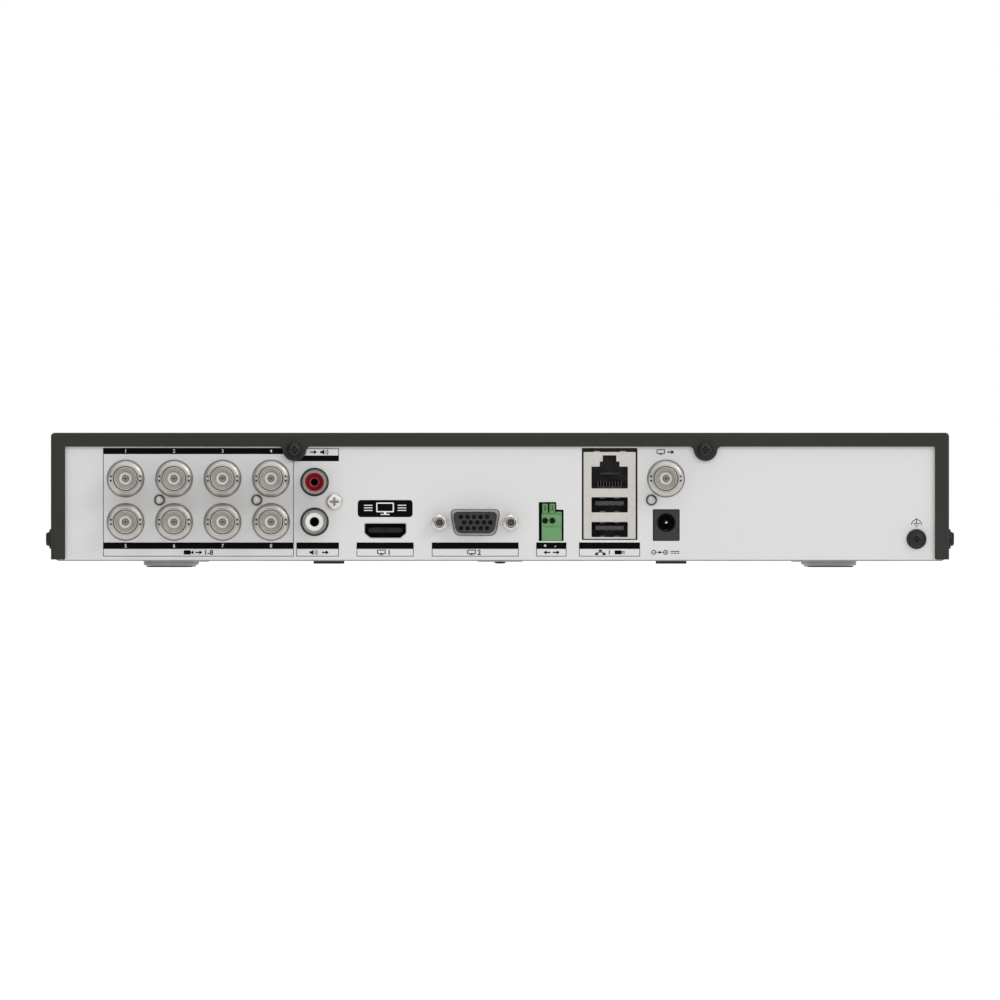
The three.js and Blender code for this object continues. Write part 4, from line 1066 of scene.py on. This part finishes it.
def analog_outline(width, height):
    w, h = width / 2, height / 2
    lean = height * 0.09
    corners = [(-w, h), (-w + 2 * lean, -h), (w - 2 * lean, -h), (w, h)]
    return soften([(x + ANALOG_X, z + ANALOG_Z) for x, z in corners], min(2.4, height * 0.3), 7)


TERMINAL_CUTOUT = [
    (13.6, BASE_Z + 7.0), (22.3, BASE_Z + 7.0), (22.3, BASE_Z + 18.0),
    (19.75, BASE_Z + 18.0), (19.75, BASE_Z + 20.65), (13.6, BASE_Z + 20.65),
]


def rear_panel():
    low, high = node_box("rear_panel")
    holes = [circle(*rear_xz(node), 6.6) for node in [*VIDEO_NODES, "video_out_socket"]]
    holes += [circle(x, z, 5.0) for x, z in AUDIO.values()]
    holes += [circle(x, z, 1.3, 24) for x, z in SMALL_SCREWS.values()]
    holes += [circle(*AUDIO_SCREW, 1.5, 24), circle(EARTH_X, EARTH_Z, 2.05, 32)]
    holes += [circle(x, z, SCREW_HOLE_R, 24) for x, z in (
        rear_xz("analog_port_standoff_left"), rear_xz("analog_port_standoff_right"),
        rear_xz("cover_screw_rear_left"), rear_xz("cover_screw_rear_right"),
    )]
    holes.append(digital_outline(0.42))
    holes.append(analog_outline(18.0, 9.4))
    holes.append(soften(TERMINAL_CUTOUT, 0.25, 2))
    holes.append(rectangle(STACK_X0 - 0.6, STACK_X1 + 0.6, STACK_LOW.z - 0.35, STACK_HIGH.z + 1.4, 0.3, 2))
    gap = 0.2
    holes.append(rectangle(
        -INLET_HIGH.x - gap, -INLET_LOW.x + gap, BASE_Z + 7.05, INLET_HIGH.z + gap, 0.3, 2,
    ))
    sheet = plate([rectangle(low.x, high.x, BASE_Z + 0.4, high.z), *holes], 0, 0.8, 0.08)
    flange = block(-150, 150, 0.7, 9, low.z, low.z + 0.8, 0.1)
    piece("rear_panel_sheet", joined([sheet, flange]), PALE_PAINT,
          replaces=["rear_panel"], at=REAR, sharp=30)
    # A near-black sheet behind the panel's cutout: painted shade in the gap round the shield.
    shield = [rectangle(STACK_X0 - g, STACK_X1 + g, STACK_LOW.z - g, STACK_HIGH.z + g) for g in (1.8, 0.02)]
    piece("stack_gap_shade", plate(shield, 0.85, 1.4), BLACK_PAINTED_SHADE, at=REAR)


# ---- Video sockets ----
BARREL_R = 4.8
BORE_R = 4.15
CORE_R = 2.35
BARREL_TIP = rear_front("video_socket_1")
CORE_TIP = BARREL_TIP + 3.0
LUG_Y = BARREL_TIP + 5.2


def barrel_mesh():
    """A bayonet socket: domed body, barrel with its two lugs, and a fine gap round the liner."""
    rim = [
        (4.32, 8), (6.4, 8), (6.45, -0.3), (6.3, -0.75), (5.9, -1.15), (5.3, -1.45), (BARREL_R + 0.05, -1.5),
        (BARREL_R, -1.75), (BARREL_R, BARREL_TIP + 0.4), (BARREL_R - 0.2, BARREL_TIP + 0.08),
        (4.45, BARREL_TIP), (4.32, BARREL_TIP + 0.15),
    ]
    body = lathe(rim, 0.15, 2, 72)
    lugs = shifted(sideways(rod(1.0, -5.5, 5.5, sides=32, bevel=0.18)), 0, LUG_Y)
    lugs = boolean(lugs, [rod(BORE_R + 0.3, BARREL_TIP, -4, sides=72)])
    return boolean(boolean(body, [lugs], "UNION"), [notches(0.36, LUG_Y - 1.5, -0.8)])


def notches(radius, y0, y1):
    """Four small holes in the domed body, two on each side."""
    return joined([rod(radius, y0, y1, sx * 5.15, sz * 0.76, 20) for sx in (-1, 1) for sz in (-1, 1)])


def video_sockets():
    barrel = barrel_mesh()
    liner = lathe([
        (1.95, 7), (4.02, 7), (4.02, BARREL_TIP + 0.5), (3.85, BARREL_TIP + 0.42),
        (2.5, CORE_TIP + 0.2), (2.38, CORE_TIP + 0.5), (1.95, CORE_TIP + 0.6),
    ], 0.12, 3)
    gap = turned([(4.04, 6), (4.3, 6), (4.3, BARREL_TIP + 0.9), (4.04, BARREL_TIP + 0.9)])
    shade = joined([gap, notches(0.35, -1.25, -0.82)])
    core = lathe([
        (1.2, 7), (CORE_R, 7), (CORE_R, CORE_TIP + 0.3), (CORE_R - 0.3, CORE_TIP),
        (1.5, CORE_TIP), (1.2, CORE_TIP + 0.3),
    ], 0.12, 2, 48)
    contact = lathe([
        (0.16, 6), (1.16, 6), (1.16, CORE_TIP + 0.4), (1.0, CORE_TIP + 0.22),
        (0.4, CORE_TIP + 0.26), (0.16, CORE_TIP + 0.5),
    ], 0.06, 2, 32)
    contact = boolean(contact, [block(-2, 2, CORE_TIP - 1, CORE_TIP + 3, -0.05, 0.05)])
    for node in [*VIDEO_NODES, "video_out_socket"]:
        at = on_rear(*rear_xz(node))
        name = node.replace("_socket", "")
        piece(f"{name}_barrel", barrel.copy(), BARREL, replaces=[node], at=at)
        piece(f"{name}_liner", liner.copy(), LINER_PAINTED_LIGHT, at=at)
        piece(f"{name}_shade", shade.copy(), BLACK_PAINTED_SHADE, at=at)
        piece(f"{name}_core", core.copy(), CORE, at=at)
        piece(f"{name}_contact", contact.copy(), DULL, at=at)


def small_screw(name, node, head_r, place, finish, painted_recess_finish):
    """A plated screw whose cross recess has a floor in another nickel tone: painted light where it is lighter
    than the head, painted shade where it is darker.
    """
    fastener = screw(head_r, 1.25, 1.1, 8, recess=0.75)
    at = on_rear(*place, -0.05)
    piece(name, fastener, finish, replaces=[node], at=at)
    arm = block(-head_r * 0.66, head_r * 0.66, -1.12, -0.7, -head_r * 0.11, head_r * 0.11, 0.05)
    across = moved(arm.copy(), Matrix.Rotation(math.pi / 2, 4, "Y"))
    piece(f"{name}_painted_cross", boolean(arm, [across], "UNION"), painted_recess_finish, at=at)


def video_blocks():
    groups = {
        "video_block_left": ["video_socket_1", "video_socket_2", "video_socket_5", "video_socket_6"],
        "video_block_right": ["video_socket_3", "video_socket_4", "video_socket_7", "video_socket_8"],
        "video_out_block": ["video_out_socket"],
    }
    for node, sockets in groups.items():
        low, high = node_box(node)
        front, back = 1.0, REAR_Y - low.y
        foot = BASE_Z + 19 if node == "video_out_block" else low.z
        body = block(-high.x, -low.x, front, back, foot, high.z, 0.5)
        seats = [rod(6.6, 0.5, 8.1, *rear_xz(socket)) for socket in sockets]
        parts = [boolean(body, seats)]
        if foot > low.z:
            parts.append(block(-high.x, -low.x, 14.4, back, low.z, foot - 0.01, 0.3))
        piece(f"{node}_body", joined(parts), GREY, replaces=[node], at=REAR)
    for side, place in SMALL_SCREWS.items():
        # A dark ring round each screw head: painted shadow where the head sits in the panel.
        shade_ring = lathe([(1.5, -0.02), (1.95, -0.02), (1.95, -0.45), (1.75, -0.6), (1.5, -0.5)], 0.08, 2, 48)
        piece(f"video_screw_{side}_ring", shade_ring, NICKEL_PAINTED_SHADE, at=on_rear(*place))
        # The cross floor is lighter than the head: painted light in the recess.
        small_screw(f"video_screw_{side}_head", f"video_screw_{side}", 1.5, place, BARREL, BRIGHT)


def audio_sockets():
    tip = rear_front("audio_sleeve_in")
    seats = [rod(4.9, 0.5, 3.1, x, z) for x, z in AUDIO.values()]
    body = boolean(rear_block("audio_block", 1.0, 0.5), seats)
    piece("audio_block_body", body, BLACK, replaces=["audio_block"], at=REAR)
    # The collar is a real flange, drawn in dark nickel: painted shade next to the panel.
    collar = lathe([(4.18, 3), (4.7, 3), (4.7, -0.3), (4.55, -0.75), (4.3, -0.9), (4.18, -0.6)], 0.08, 2, 72)
    sleeve = lathe([
        (3.3, 3), (4.15, 3), (4.15, tip + 0.4), (4.08, tip + 0.08), (3.98, tip + 0.1), (3.94, tip + 1.6),
        (3.64, tip + 1.6), (3.6, tip + 0.1), (3.48, tip), (3.36, tip + 0.1), (3.3, tip + 0.4),
    ], 0.06, 2, 72)
    inserts = {  # finish, radius of the contact's hole, inner edge of the face, foot of the slope inside it
        "in": (RED, 1.25, (3.02, 2.9), tip + 3.4),
        "out": (WHITE, 1.66, (3.2, 3.0), tip + 0.6),
    }
    for way, (finish, hole, edge, slope_y) in inserts.items():
        at = on_rear(*AUDIO[way])
        insulator = lathe([
            (0, 3), (3.24, 3), (3.24, tip + 0.6), (edge[0], tip + 0.35), (edge[1], tip + 0.45),
            (1.95, slope_y), (hole, slope_y + 0.2), (hole, 1.5), (0, 1.5),
        ], 0.12, 3, closed=False)
        # A near-black cup lining the contact's hole: painted shade in the hole.
        well = turned([
            (0, 1.4), (hole - 0.01, 1.4), (hole - 0.01, slope_y + 0.5), (hole - 0.2, slope_y + 0.5),
            (hole - 0.2, 1.0), (0, 1.0),
        ], 32)
        piece(f"audio_{way}_sleeve", sleeve.copy(), BARREL,
              replaces=[f"audio_sleeve_{way}"], at=at)
        piece(f"audio_{way}_collar", collar.copy(), NICKEL_PAINTED_SHADE, at=at)
        piece(f"audio_{way}_insert", insulator, finish,
              replaces=[f"audio_insulator_{way}"], at=at)
        piece(f"audio_{way}_contact", well, BLACK_PAINTED_SHADE, at=at)
    # The cross floor is darker than the head: painted shade in the recess.
    small_screw("audio_screw_head", "audio_screw", 2.8, AUDIO_SCREW, BRIGHT, DULL)


# ---- Display ports ----
def digital_port():
    depth = 11.5
    shell = plate([digital_outline(0.38), digital_outline(0.2)], 0.1, depth, 0.05)
    piece("digital_shell", shell, SATIN, replaces=["digital_port_shell"], at=REAR)
    # The tongue is black plastic drawn near-black, with a back wall closing the shell: painted shade inside
    # the port.
    back = plate([digital_outline(0.1)], 8.6, depth)
    tongue = block(DIGITAL_X - 6, DIGITAL_X + 6, 1.4, 8.8, DIGITAL_Z - 0.6, DIGITAL_Z + 1.0, 0.2)
    piece("digital_insert", boolean(back, [tongue], "UNION"), BLACK_PAINTED_SHADE,
          replaces=["digital_port_tongue"], at=REAR)
    contacts = [
        block(x - 0.14, x + 0.14, 3.2, 8.4, z, z + 0.08)
        for count, z in ((10, DIGITAL_Z - 0.67), (9, DIGITAL_Z + 1.01))
        for x in (DIGITAL_X + (i - (count - 1) / 2) * 1.0 for i in range(count))
    ]
    piece("digital_contacts", joined(contacts), DULL, at=REAR)


def drawn_ring(sizes, outline):
    """A skin through outlines at given depths, closed on itself, as (width, height, y)."""
    bm = bmesh.new()
    loops = []
    for width, height, y in sizes:
        loops.append([bm.verts.new((x, y, z)) for x, z in outline(width, height)])
    for a, b in zip(loops, loops[1:] + loops[:1]):
        for i in range(len(a)):
            j = (i + 1) % len(a)
            bm.faces.new((a[i], a[j], b[j], b[i]))
    return to_mesh(bm)


def analog_port():
    tip = rear_front("analog_port_shell")
    sections = [
        (17.9, 9.5, 0.95), (17.7, 9.3, 0.1), (17.2, 8.8, -0.3), (16.75, 8.3, -0.8), (16.5, 8.1, -1.6),
        (16.45, 8.05, tip + 0.25), (16.3, 7.9, tip), (16.15, 7.75, tip), (16.05, 7.65, tip + 0.2),
        (16.0, 7.6, 0.95),
    ]
    shell = drawn_ring(sections, analog_outline)
    low, high = node_box("analog_port_shell")
    standoff_places = [rear_xz(f"analog_port_standoff_{side}") for side in ("left", "right")]
    flange = plate([
        rectangle(-high.x, -low.x, low.z, high.z, 1, 4), analog_outline(16.0, 7.6),
        *[circle(x, z, 1.6, 24) for x, z in standoff_places],
    ], 0.95, 1.7, 0.1)
    piece("analog_shell", joined([shell, flange]), BRIGHT,
          replaces=["analog_port_shell"], at=REAR)
    pitch, rows = 2.29, 1.98
    places = [
        (ANALOG_X + shift + i * pitch, ANALOG_Z + row * rows)
        for row, shift in ((1, -0.38), (0, 0.76), (-1, -0.38)) for i in range(-2, 3)
    ]
    contact_holes = [circle(x, z, 0.78, 20) for x, z in places]
    nose = plate([analog_outline(15.9, 7.5), *contact_holes], tip + 0.5, 1.9, 0.08)
    bores = [rod(1.6, 0, 14, x, z) for x, z in standoff_places]
    inner = boolean(rear_block("analog_port_insert", 1.95, 0.4), bores)
    piece("analog_insert", joined([nose, inner]), BLACK,
          replaces=["analog_port_insert"], at=REAR)
    # The contacts are drawn in dark nickel: painted shade down their holes.
    socket = turned([(0.3, 1.2), (0.56, 1.2), (0.56, 1.8), (0.3, 1.8)], 16)
    contacts = [shifted(socket.copy(), x, 0, z) for x, z in places]
    piece("analog_contacts", joined(contacts), NICKEL_PAINTED_SHADE, at=REAR)


def hexagon(radius):
    return [(radius * math.sin(TURN * k / 6), radius * math.cos(TURN * k / 6)) for k in range(6)]


def standoffs():
    """Hexagonal standoffs with a countersunk threaded hole."""
    head = plate([hexagon(2.85)], -5, -0.05, 0.12)
    chamfer = lathe([(0, -5.0), (2.1, -5.0), (2.9, -4.3), (2.9, 1), (0, 1)], 0.1, closed=False)
    head = boolean(head, [chamfer], "INTERSECT")
    thread = [(0, -6), (1.95, -6), (1.9, -5), (1.6, -4.6)]
    for k in range(9):
        y = -4.5 + k * 0.45
        thread += [(1.55, y), (1.25, y + 0.22)]
    thread.append((0, -0.4))
    body = boolean(boolean(head, [rod(1.45, -1, 8)], "UNION"), [turned(thread, 40)])
    # A dark plug in each standoff's bore: painted shade in the threaded hole.
    plug = rod(1.22, -2.4, -0.35, sides=32, bevel=0.1)
    for side in ("left", "right"):
        at = on_rear(*rear_xz(f"analog_port_standoff_{side}"))
        piece(f"analog_standoff_{side}", body.copy(), BRIGHT,
              replaces=[f"analog_port_standoff_{side}"], at=at)
        piece(f"analog_standoff_{side}_core", plug.copy(), NICKEL_PAINTED_SHADE, at=at)


# ---- Serial terminal ----
def serial_terminal():
    low, high = node_box("terminal_body")
    x0, x1 = -high.x, -low.x
    front, back = REAR_Y - high.y, REAR_Y - low.y
    wire_z = BASE_Z + 14.15
    body = block(x0, x1, front, back, low.z, BASE_Z + 17.3, 0.2)
    house = block(x0, 19.5, 8.6, back, BASE_Z + 16, high.z, 0.2)
    levers = [node_box(f"terminal_lever_{i}") for i in (1, 2)]
    room = 0.12
    tools = [block(-hi.x - room, -lo.x + room, -1, 8.6, lo.z - room, 40) for lo, hi in levers]
    for lo, hi in levers:
        x = -(lo.x + hi.x) / 2
        tools.append(rod(0.95, -1, 7, x, wire_z))
        mouth = turned([(0, front - 0.2), (1.35, front - 0.2), (0.95, front + 0.6), (0, front + 0.6)])
        tools.append(shifted(mouth, x, 0, wire_z))
    tools.append(block(x0 - 1, x1 + 1, front - 1, front + 0.25, BASE_Z + 11.9, BASE_Z + 12.3))
    tools.append(block(19.6, x1 + 1, front - 1, front + 0.5, BASE_Z + 16.2, BASE_Z + 18))
    shape = boolean(boolean(body, [house], "UNION"), tools)
    made = piece("terminal_housing", shape, GREEN, replaces=["terminal_body"], at=REAR)
    round_edges(made, 0.08)
    for i in (1, 2):
        terminal_lever(i)


def terminal_lever(number):
    """A push lever with a driver slot and a fine groove on each side of it."""
    node = f"terminal_lever_{number}"
    lo, hi = node_box(node)
    x, y = -(lo.x + hi.x) / 2, rear_front(node)
    slot = block(x - 0.35, x + 0.35, y - 1, y + 0.8, lo.z + 0.7, hi.z - 0.5)
    grooves = []
    for middle in (x - 0.72, x + 0.72):
        grooves.append(block(middle - 0.08, middle + 0.08, y - 1, y + 0.25, lo.z - 1, hi.z + 1))
    lever = boolean(rear_block(node, y, 0.15), [slot, *grooves])
    piece(f"terminal_push_lever_{number}", lever, GREEN,
          body=f"release_lever_{number}", replaces=[node], at=REAR)


# ---- Network and serial-bus stack ----
MOUTH_X0, MOUTH_X1 = 32.1, 44.8
BUS_HEIGHT = 5.3
BUS_ZS = (BASE_Z + 17.05, BASE_Z + 8.4)
NETWORK_Z = BASE_Z + 25.45
STACK_MIDDLE = 38.45
CONTACT_PITCH = 1.02


def network_mouth(grow=0.0):
    """The network socket's mouth: a window with two steps over it for the plug's latch."""
    steps = [  # each step's left and right side, and the height that it reaches
        (MOUTH_X0, MOUTH_X1, BASE_Z + 33.1), (35.0, 41.9, BASE_Z + 34.9), (36.05, 40.75, BASE_Z + 37.05),
    ]
    right, left = [(MOUTH_X1 + grow, NETWORK_Z - grow)], [(MOUTH_X0 - grow, NETWORK_Z - grow)]
    for i, (x0, x1, z) in enumerate(steps):
        right.append((x1 + grow, z + grow))
        left.append((x0 - grow, z + grow))
        if i + 1 < len(steps):
            right.append((steps[i + 1][1] + grow, z + grow))
            left.append((steps[i + 1][0] - grow, z + grow))
    return right + left[::-1]


def stack():
    depth, wall = STACK_HIGH.y - STACK_LOW.y, 0.35
    rim = rectangle(STACK_X0, STACK_X1, STACK_LOW.z, STACK_HIGH.z, 0.3, 3)
    inner = rectangle(STACK_X0 + wall, STACK_X1 - wall, STACK_LOW.z + wall, STACK_HIGH.z - wall)
    mouths = [soften(network_mouth(), 0.2, 2)]
    mouths += [rectangle(MOUTH_X0, MOUTH_X1, z, z + BUS_HEIGHT, 0.3, 3) for z in BUS_ZS]
    face = plate([rim, *mouths], 0, wall, 0.08)
    walls = plate([rim, inner], wall, depth)
    fingers = [spring_finger(x, STACK_HIGH.z) for x in (STACK_X0 + 4.6, STACK_X1 - 4.6)]
    can = joined([face, walls, *fingers])
    piece("stack_can", can, SATIN, replaces=["stack_shield"], at=REAR)
    inset = wall + 0.1
    core = block(
        STACK_X0 + inset, STACK_X1 - inset, inset, depth - 0.5, STACK_LOW.z + inset, STACK_HIGH.z - inset
    )
    wells = [plate([network_mouth()], -1, 13)]
    wells += [block(MOUTH_X0, MOUTH_X1, -1, 12, z, z + BUS_HEIGHT) for z in BUS_ZS]
    body = boolean(core, wells)
    comb = []
    for i in range(9):
        x = 34.17 + i * CONTACT_PITCH
        comb.append(block(x, x + 0.3, 2.2, 13.1, NETWORK_Z - 0.1, NETWORK_Z + 2.6))
    shelf = block(MOUTH_X0 - 0.1, MOUTH_X1 + 0.1, 5.5, 13.1, NETWORK_Z - 0.1, NETWORK_Z + 0.8)
    ledge = block(34.9, 42.0, 6.5, 13.1, NETWORK_Z + 5.0, NETWORK_Z + 5.5)
    tongues = [block(33.4, 43.5, 1.1, 12.2, z + 2.5, z + 4.0, 0.2) for z in BUS_ZS]
    insert = joined([body, *comb, shelf, ledge, *tongues])
    piece("stack_core", insert, CAVITY_PAINTED_LIGHT, replaces=["stack_housing"], at=REAR)
    stack_contacts()


def stack_contacts():
    """The network socket's eight wires, and the serial-bus sockets' blades and springs."""
    bends = ((3.0, 0.5), (4.2, 0.5), (9.5, 2.9), (12.6, 2.2))
    wires = []
    for i in range(8):
        x = 34.83 + i * CONTACT_PITCH
        wires.append(tube([(x, y, NETWORK_Z + rise) for y, rise in bends], 0.18))
    blades = [
        block(STACK_MIDDLE + dx - 0.5, STACK_MIDDLE + dx + 0.5, 3.4, 11.5, z + 2.4, z + 2.49)
        for z in BUS_ZS for dx in (-3.5, -1.0, 1.0, 3.5)
    ]
    piece("stack_contacts", joined([*wires, *blades]), DULL, at=REAR)
    springs = [
        block(x - 0.9, x + 0.9, 2.6, 8.5, z + rise, z + rise + 0.4, 0.12)
        for z in BUS_ZS for x in (35.9, 41.0) for rise in (0.02, BUS_HEIGHT - 0.42)
    ]
    piece("stack_springs", joined(springs), DULL, at=REAR)


def spring_finger(x, z):
    """An earthing spring, bowed up from the shield's top to meet the panel's edge."""
    bow = [(0.4, 0.0), (1.0, 0.55), (2.4, 0.9), (4.0, 0.45), (5.2, 0.0)]
    bm = bmesh.new()
    section = ((-1, 0), (1, 0), (1, 0.2), (-1, 0.2))
    rows = []
    for y, rise in bow:
        rows.append([bm.verts.new((x + dx, y, z + rise + dz)) for dx, dz in section])
    for a, b in zip(rows, rows[1:]):
        for i in range(4):
            j = (i + 1) % 4
            bm.faces.new((a[i], a[j], b[j], b[i]))
    bm.faces.new(rows[0])
    bm.faces.new(rows[-1])
    return to_mesh(bm)


# ---- Power inlet ----
def power_inlet():
    front = rear_front("power_inlet")
    bore = lathe([
        (0, -2), (3.4, -2), (3.35, front + 0.02), (3.1, front + 0.5), (3.05, 9.5), (0, 9.5),
    ], 0.15, closed=False)
    housing = boolean(rear_block("power_inlet", front, 0.35, 3), [shifted(bore, INLET_X, 0, INLET_Z)])
    piece("power_housing", housing, BLACK, replaces=["power_inlet"], at=REAR)
    at = on_rear(INLET_X, INLET_Z)
    # A near-black tube lining the bore: painted shade inside it.
    lining = [(0, 9.4), (3.03, 9.4), (3.03, 1.2), (2.85, 1.2), (2.85, 9.1), (0, 9.1)]
    piece("power_lining", lathe(lining, 0.05, closed=False), BLACK_PAINTED_SHADE, at=at)
    tip = rear_front("power_pin")
    pin = lathe([(0, tip), (0.35, tip), (0.98, tip + 1.1), (0.98, 9.2), (0, 9.2)], 0.3, 4, 32, closed=False)
    piece("power_centre_pin", pin, BRIGHT, replaces=["power_pin"], at=at)
    leaf = block(INLET_X - 0.9, INLET_X + 0.9, 4.2, 9.0, INLET_Z - 2.8, INLET_Z - 2.6, 0.1)
    piece("power_side_contact", leaf, DULL, at=REAR)


# ---- Earth terminal ----
def earth_terminal():
    """The washer rides on the clamp and the screw on its own bolt, so that it can turn."""
    shade_ring = lathe([(2.1, -0.05), (3.5, -0.05), (3.5, -0.55), (2.1, -0.55)], 0.12)
    piece("earth_ring", shade_ring, BLACK_SCREW, body="earth_clamp",
          replaces=["earth_washer"], at=on_rear(EARTH_X, EARTH_Z))
    fastener = screw(2.9, 1.8, 1.9, 7, recess=0.5, slot=1.5)
    piece("earth_screw_head", fastener, BLACK_SCREW, body="earth_bolt",
          replaces=["earth_screw"], at=on_rear(EARTH_X, EARTH_Z, -0.6))


# ---- Inside parts keep their CAD shapes ----
def dress_inside():
    finishes = {
        "main_board": LAMINATE, "indicator_board": LAMINATE, "heatsink": HEATSINK,
        "hard_drive": CAST, "drive_cable": CABLE,
    }
    for node, finish in finishes.items():
        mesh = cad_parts[node].data
        mesh.materials.clear()
        mesh.materials.append(finish)
        round_edges(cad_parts[node], 0.15)


# ---- Stage ----
PHOTO_WIDTH = 0.3507  # metres across the picture at the rear panel
LENS_MM = 1650.0
SENSOR_MM = 36.0
EYE_Z = 0.0236
FLOOR_GLOW = 0.86
LAMPS = {  # place and target in metres, size in metres, power in watts
    "key": ((-1.5, 1.7, 1.2), (0, 0.1, 0.03), (1.0, 1.0), 12),
    "fill": ((0.4, 3.2, 1.4), (0, 0.1, 0.03), (3.0, 2.4), 16),
    "top": ((0, 0.2, 2.0), (0, 0, 0), (1.6, 1.6), 8),
    "front": ((0.6, -2.0, 1.0), (0, 0, 0.02), (1.4, 1.0), 10),
}
BRIGHT_SIDE = (-0.66, 0.45, 0.6)  # where the surroundings that metal reflects are brightest
REFLECTED = {"From Min": -0.5, "From Max": 0.6, "To Min": 0.28, "To Max": 0.86}
SURROUND_LIGHT = 0.62


def floor():
    bm = bmesh.new()
    bmesh.ops.create_grid(bm, x_segments=8, y_segments=8, size=40)
    mesh = bpy.data.meshes.new("floor")
    bm.to_mesh(mesh)
    bm.free()
    ground = bpy.data.objects.new("floor", mesh)
    scene.collection.objects.link(ground)
    s = Surface("pale_floor", linear(150, 150, 150), 0.9, Specular_IOR_Level=0.0)
    s.tint(s.ramp(s.noise(400, 3), 0.4, 0.8, 0.0, 0.4), linear(146, 146, 146))
    s.shader.inputs["Emission Color"].default_value = (1, 1, 1, 1)
    s.shader.inputs["Emission Strength"].default_value = FLOOR_GLOW
    mesh.materials.append(s.material)


def softbox(name, place, target, size, power):
    light = bpy.data.lights.new(name, "AREA")
    light.shape = "RECTANGLE"
    light.size, light.size_y = size
    light.energy = power
    lamp = bpy.data.objects.new(name, light)
    scene.collection.objects.link(lamp)
    lamp.location = place
    lamp.rotation_euler = (Vector(target) - Vector(place)).to_track_quat("-Z", "Y").to_euler()
    lamp.visible_camera = False


def studio():
    """The lamps, and surroundings that are white to the camera and shaded in what metal reflects."""
    for name, lamp in LAMPS.items():
        softbox(name, *lamp)
    world = bpy.data.worlds.new("studio")
    scene.world = world
    world.use_nodes = True
    tree = world.node_tree
    links = tree.links
    direction = tree.nodes.new("ShaderNodeTexCoord")
    facing = tree.nodes.new("ShaderNodeVectorMath")
    facing.operation = "DOT_PRODUCT"
    links.new(direction.outputs["Generated"], facing.inputs[0])
    facing.inputs[1].default_value = BRIGHT_SIDE
    band = tree.nodes.new("ShaderNodeMapRange")
    links.new(facing.outputs["Value"], band.inputs["Value"])
    for key, value in REFLECTED.items():
        band.inputs[key].default_value = value
    rays = tree.nodes.new("ShaderNodeLightPath")
    reflected = mixed_value(tree, rays.outputs["Is Glossy Ray"], SURROUND_LIGHT, band.outputs["Result"])
    seen = mixed_value(tree, rays.outputs["Is Camera Ray"], reflected, 1.0)
    links.new(seen, tree.nodes["Background"].inputs["Strength"])
    tree.nodes["Background"].inputs["Color"].default_value = (1, 1, 1, 1)


def mixed_value(tree, factor, low, high):
    """Mixes two strengths, each a number or an output."""
    mix = tree.nodes.new("ShaderNodeMix")
    tree.links.new(factor, mix.inputs[0])
    for socket, value in ((mix.inputs[2], low), (mix.inputs[3], high)):
        if isinstance(value, float):
            socket.default_value = value
        else:
            tree.links.new(value, socket)
    return mix.outputs[0]


def camera():
    data = bpy.data.cameras.new("camera")
    data.lens = LENS_MM
    data.sensor_width = SENSOR_MM
    eye = bpy.data.objects.new("camera", data)
    scene.collection.objects.link(eye)
    distance = PHOTO_WIDTH * LENS_MM / SENSOR_MM
    eye.location = (0, REAR_Y * MM + distance, EYE_Z)
    eye.rotation_euler = (math.pi / 2, 0, math.pi)
    data.clip_start, data.clip_end = 0.1, 60
    scene.camera = eye
    scene.view_settings.view_transform = "Standard"


top_cover()
base_pan()
foot_pads()
case_screws()
front_bezel()
indicator_window()
rear_panel()
panel_print()
video_sockets()
video_blocks()
audio_sockets()
digital_port()
analog_port()
standoffs()
serial_terminal()
stack()
power_inlet()
earth_terminal()
dress_inside()
floor()
studio()
camera()
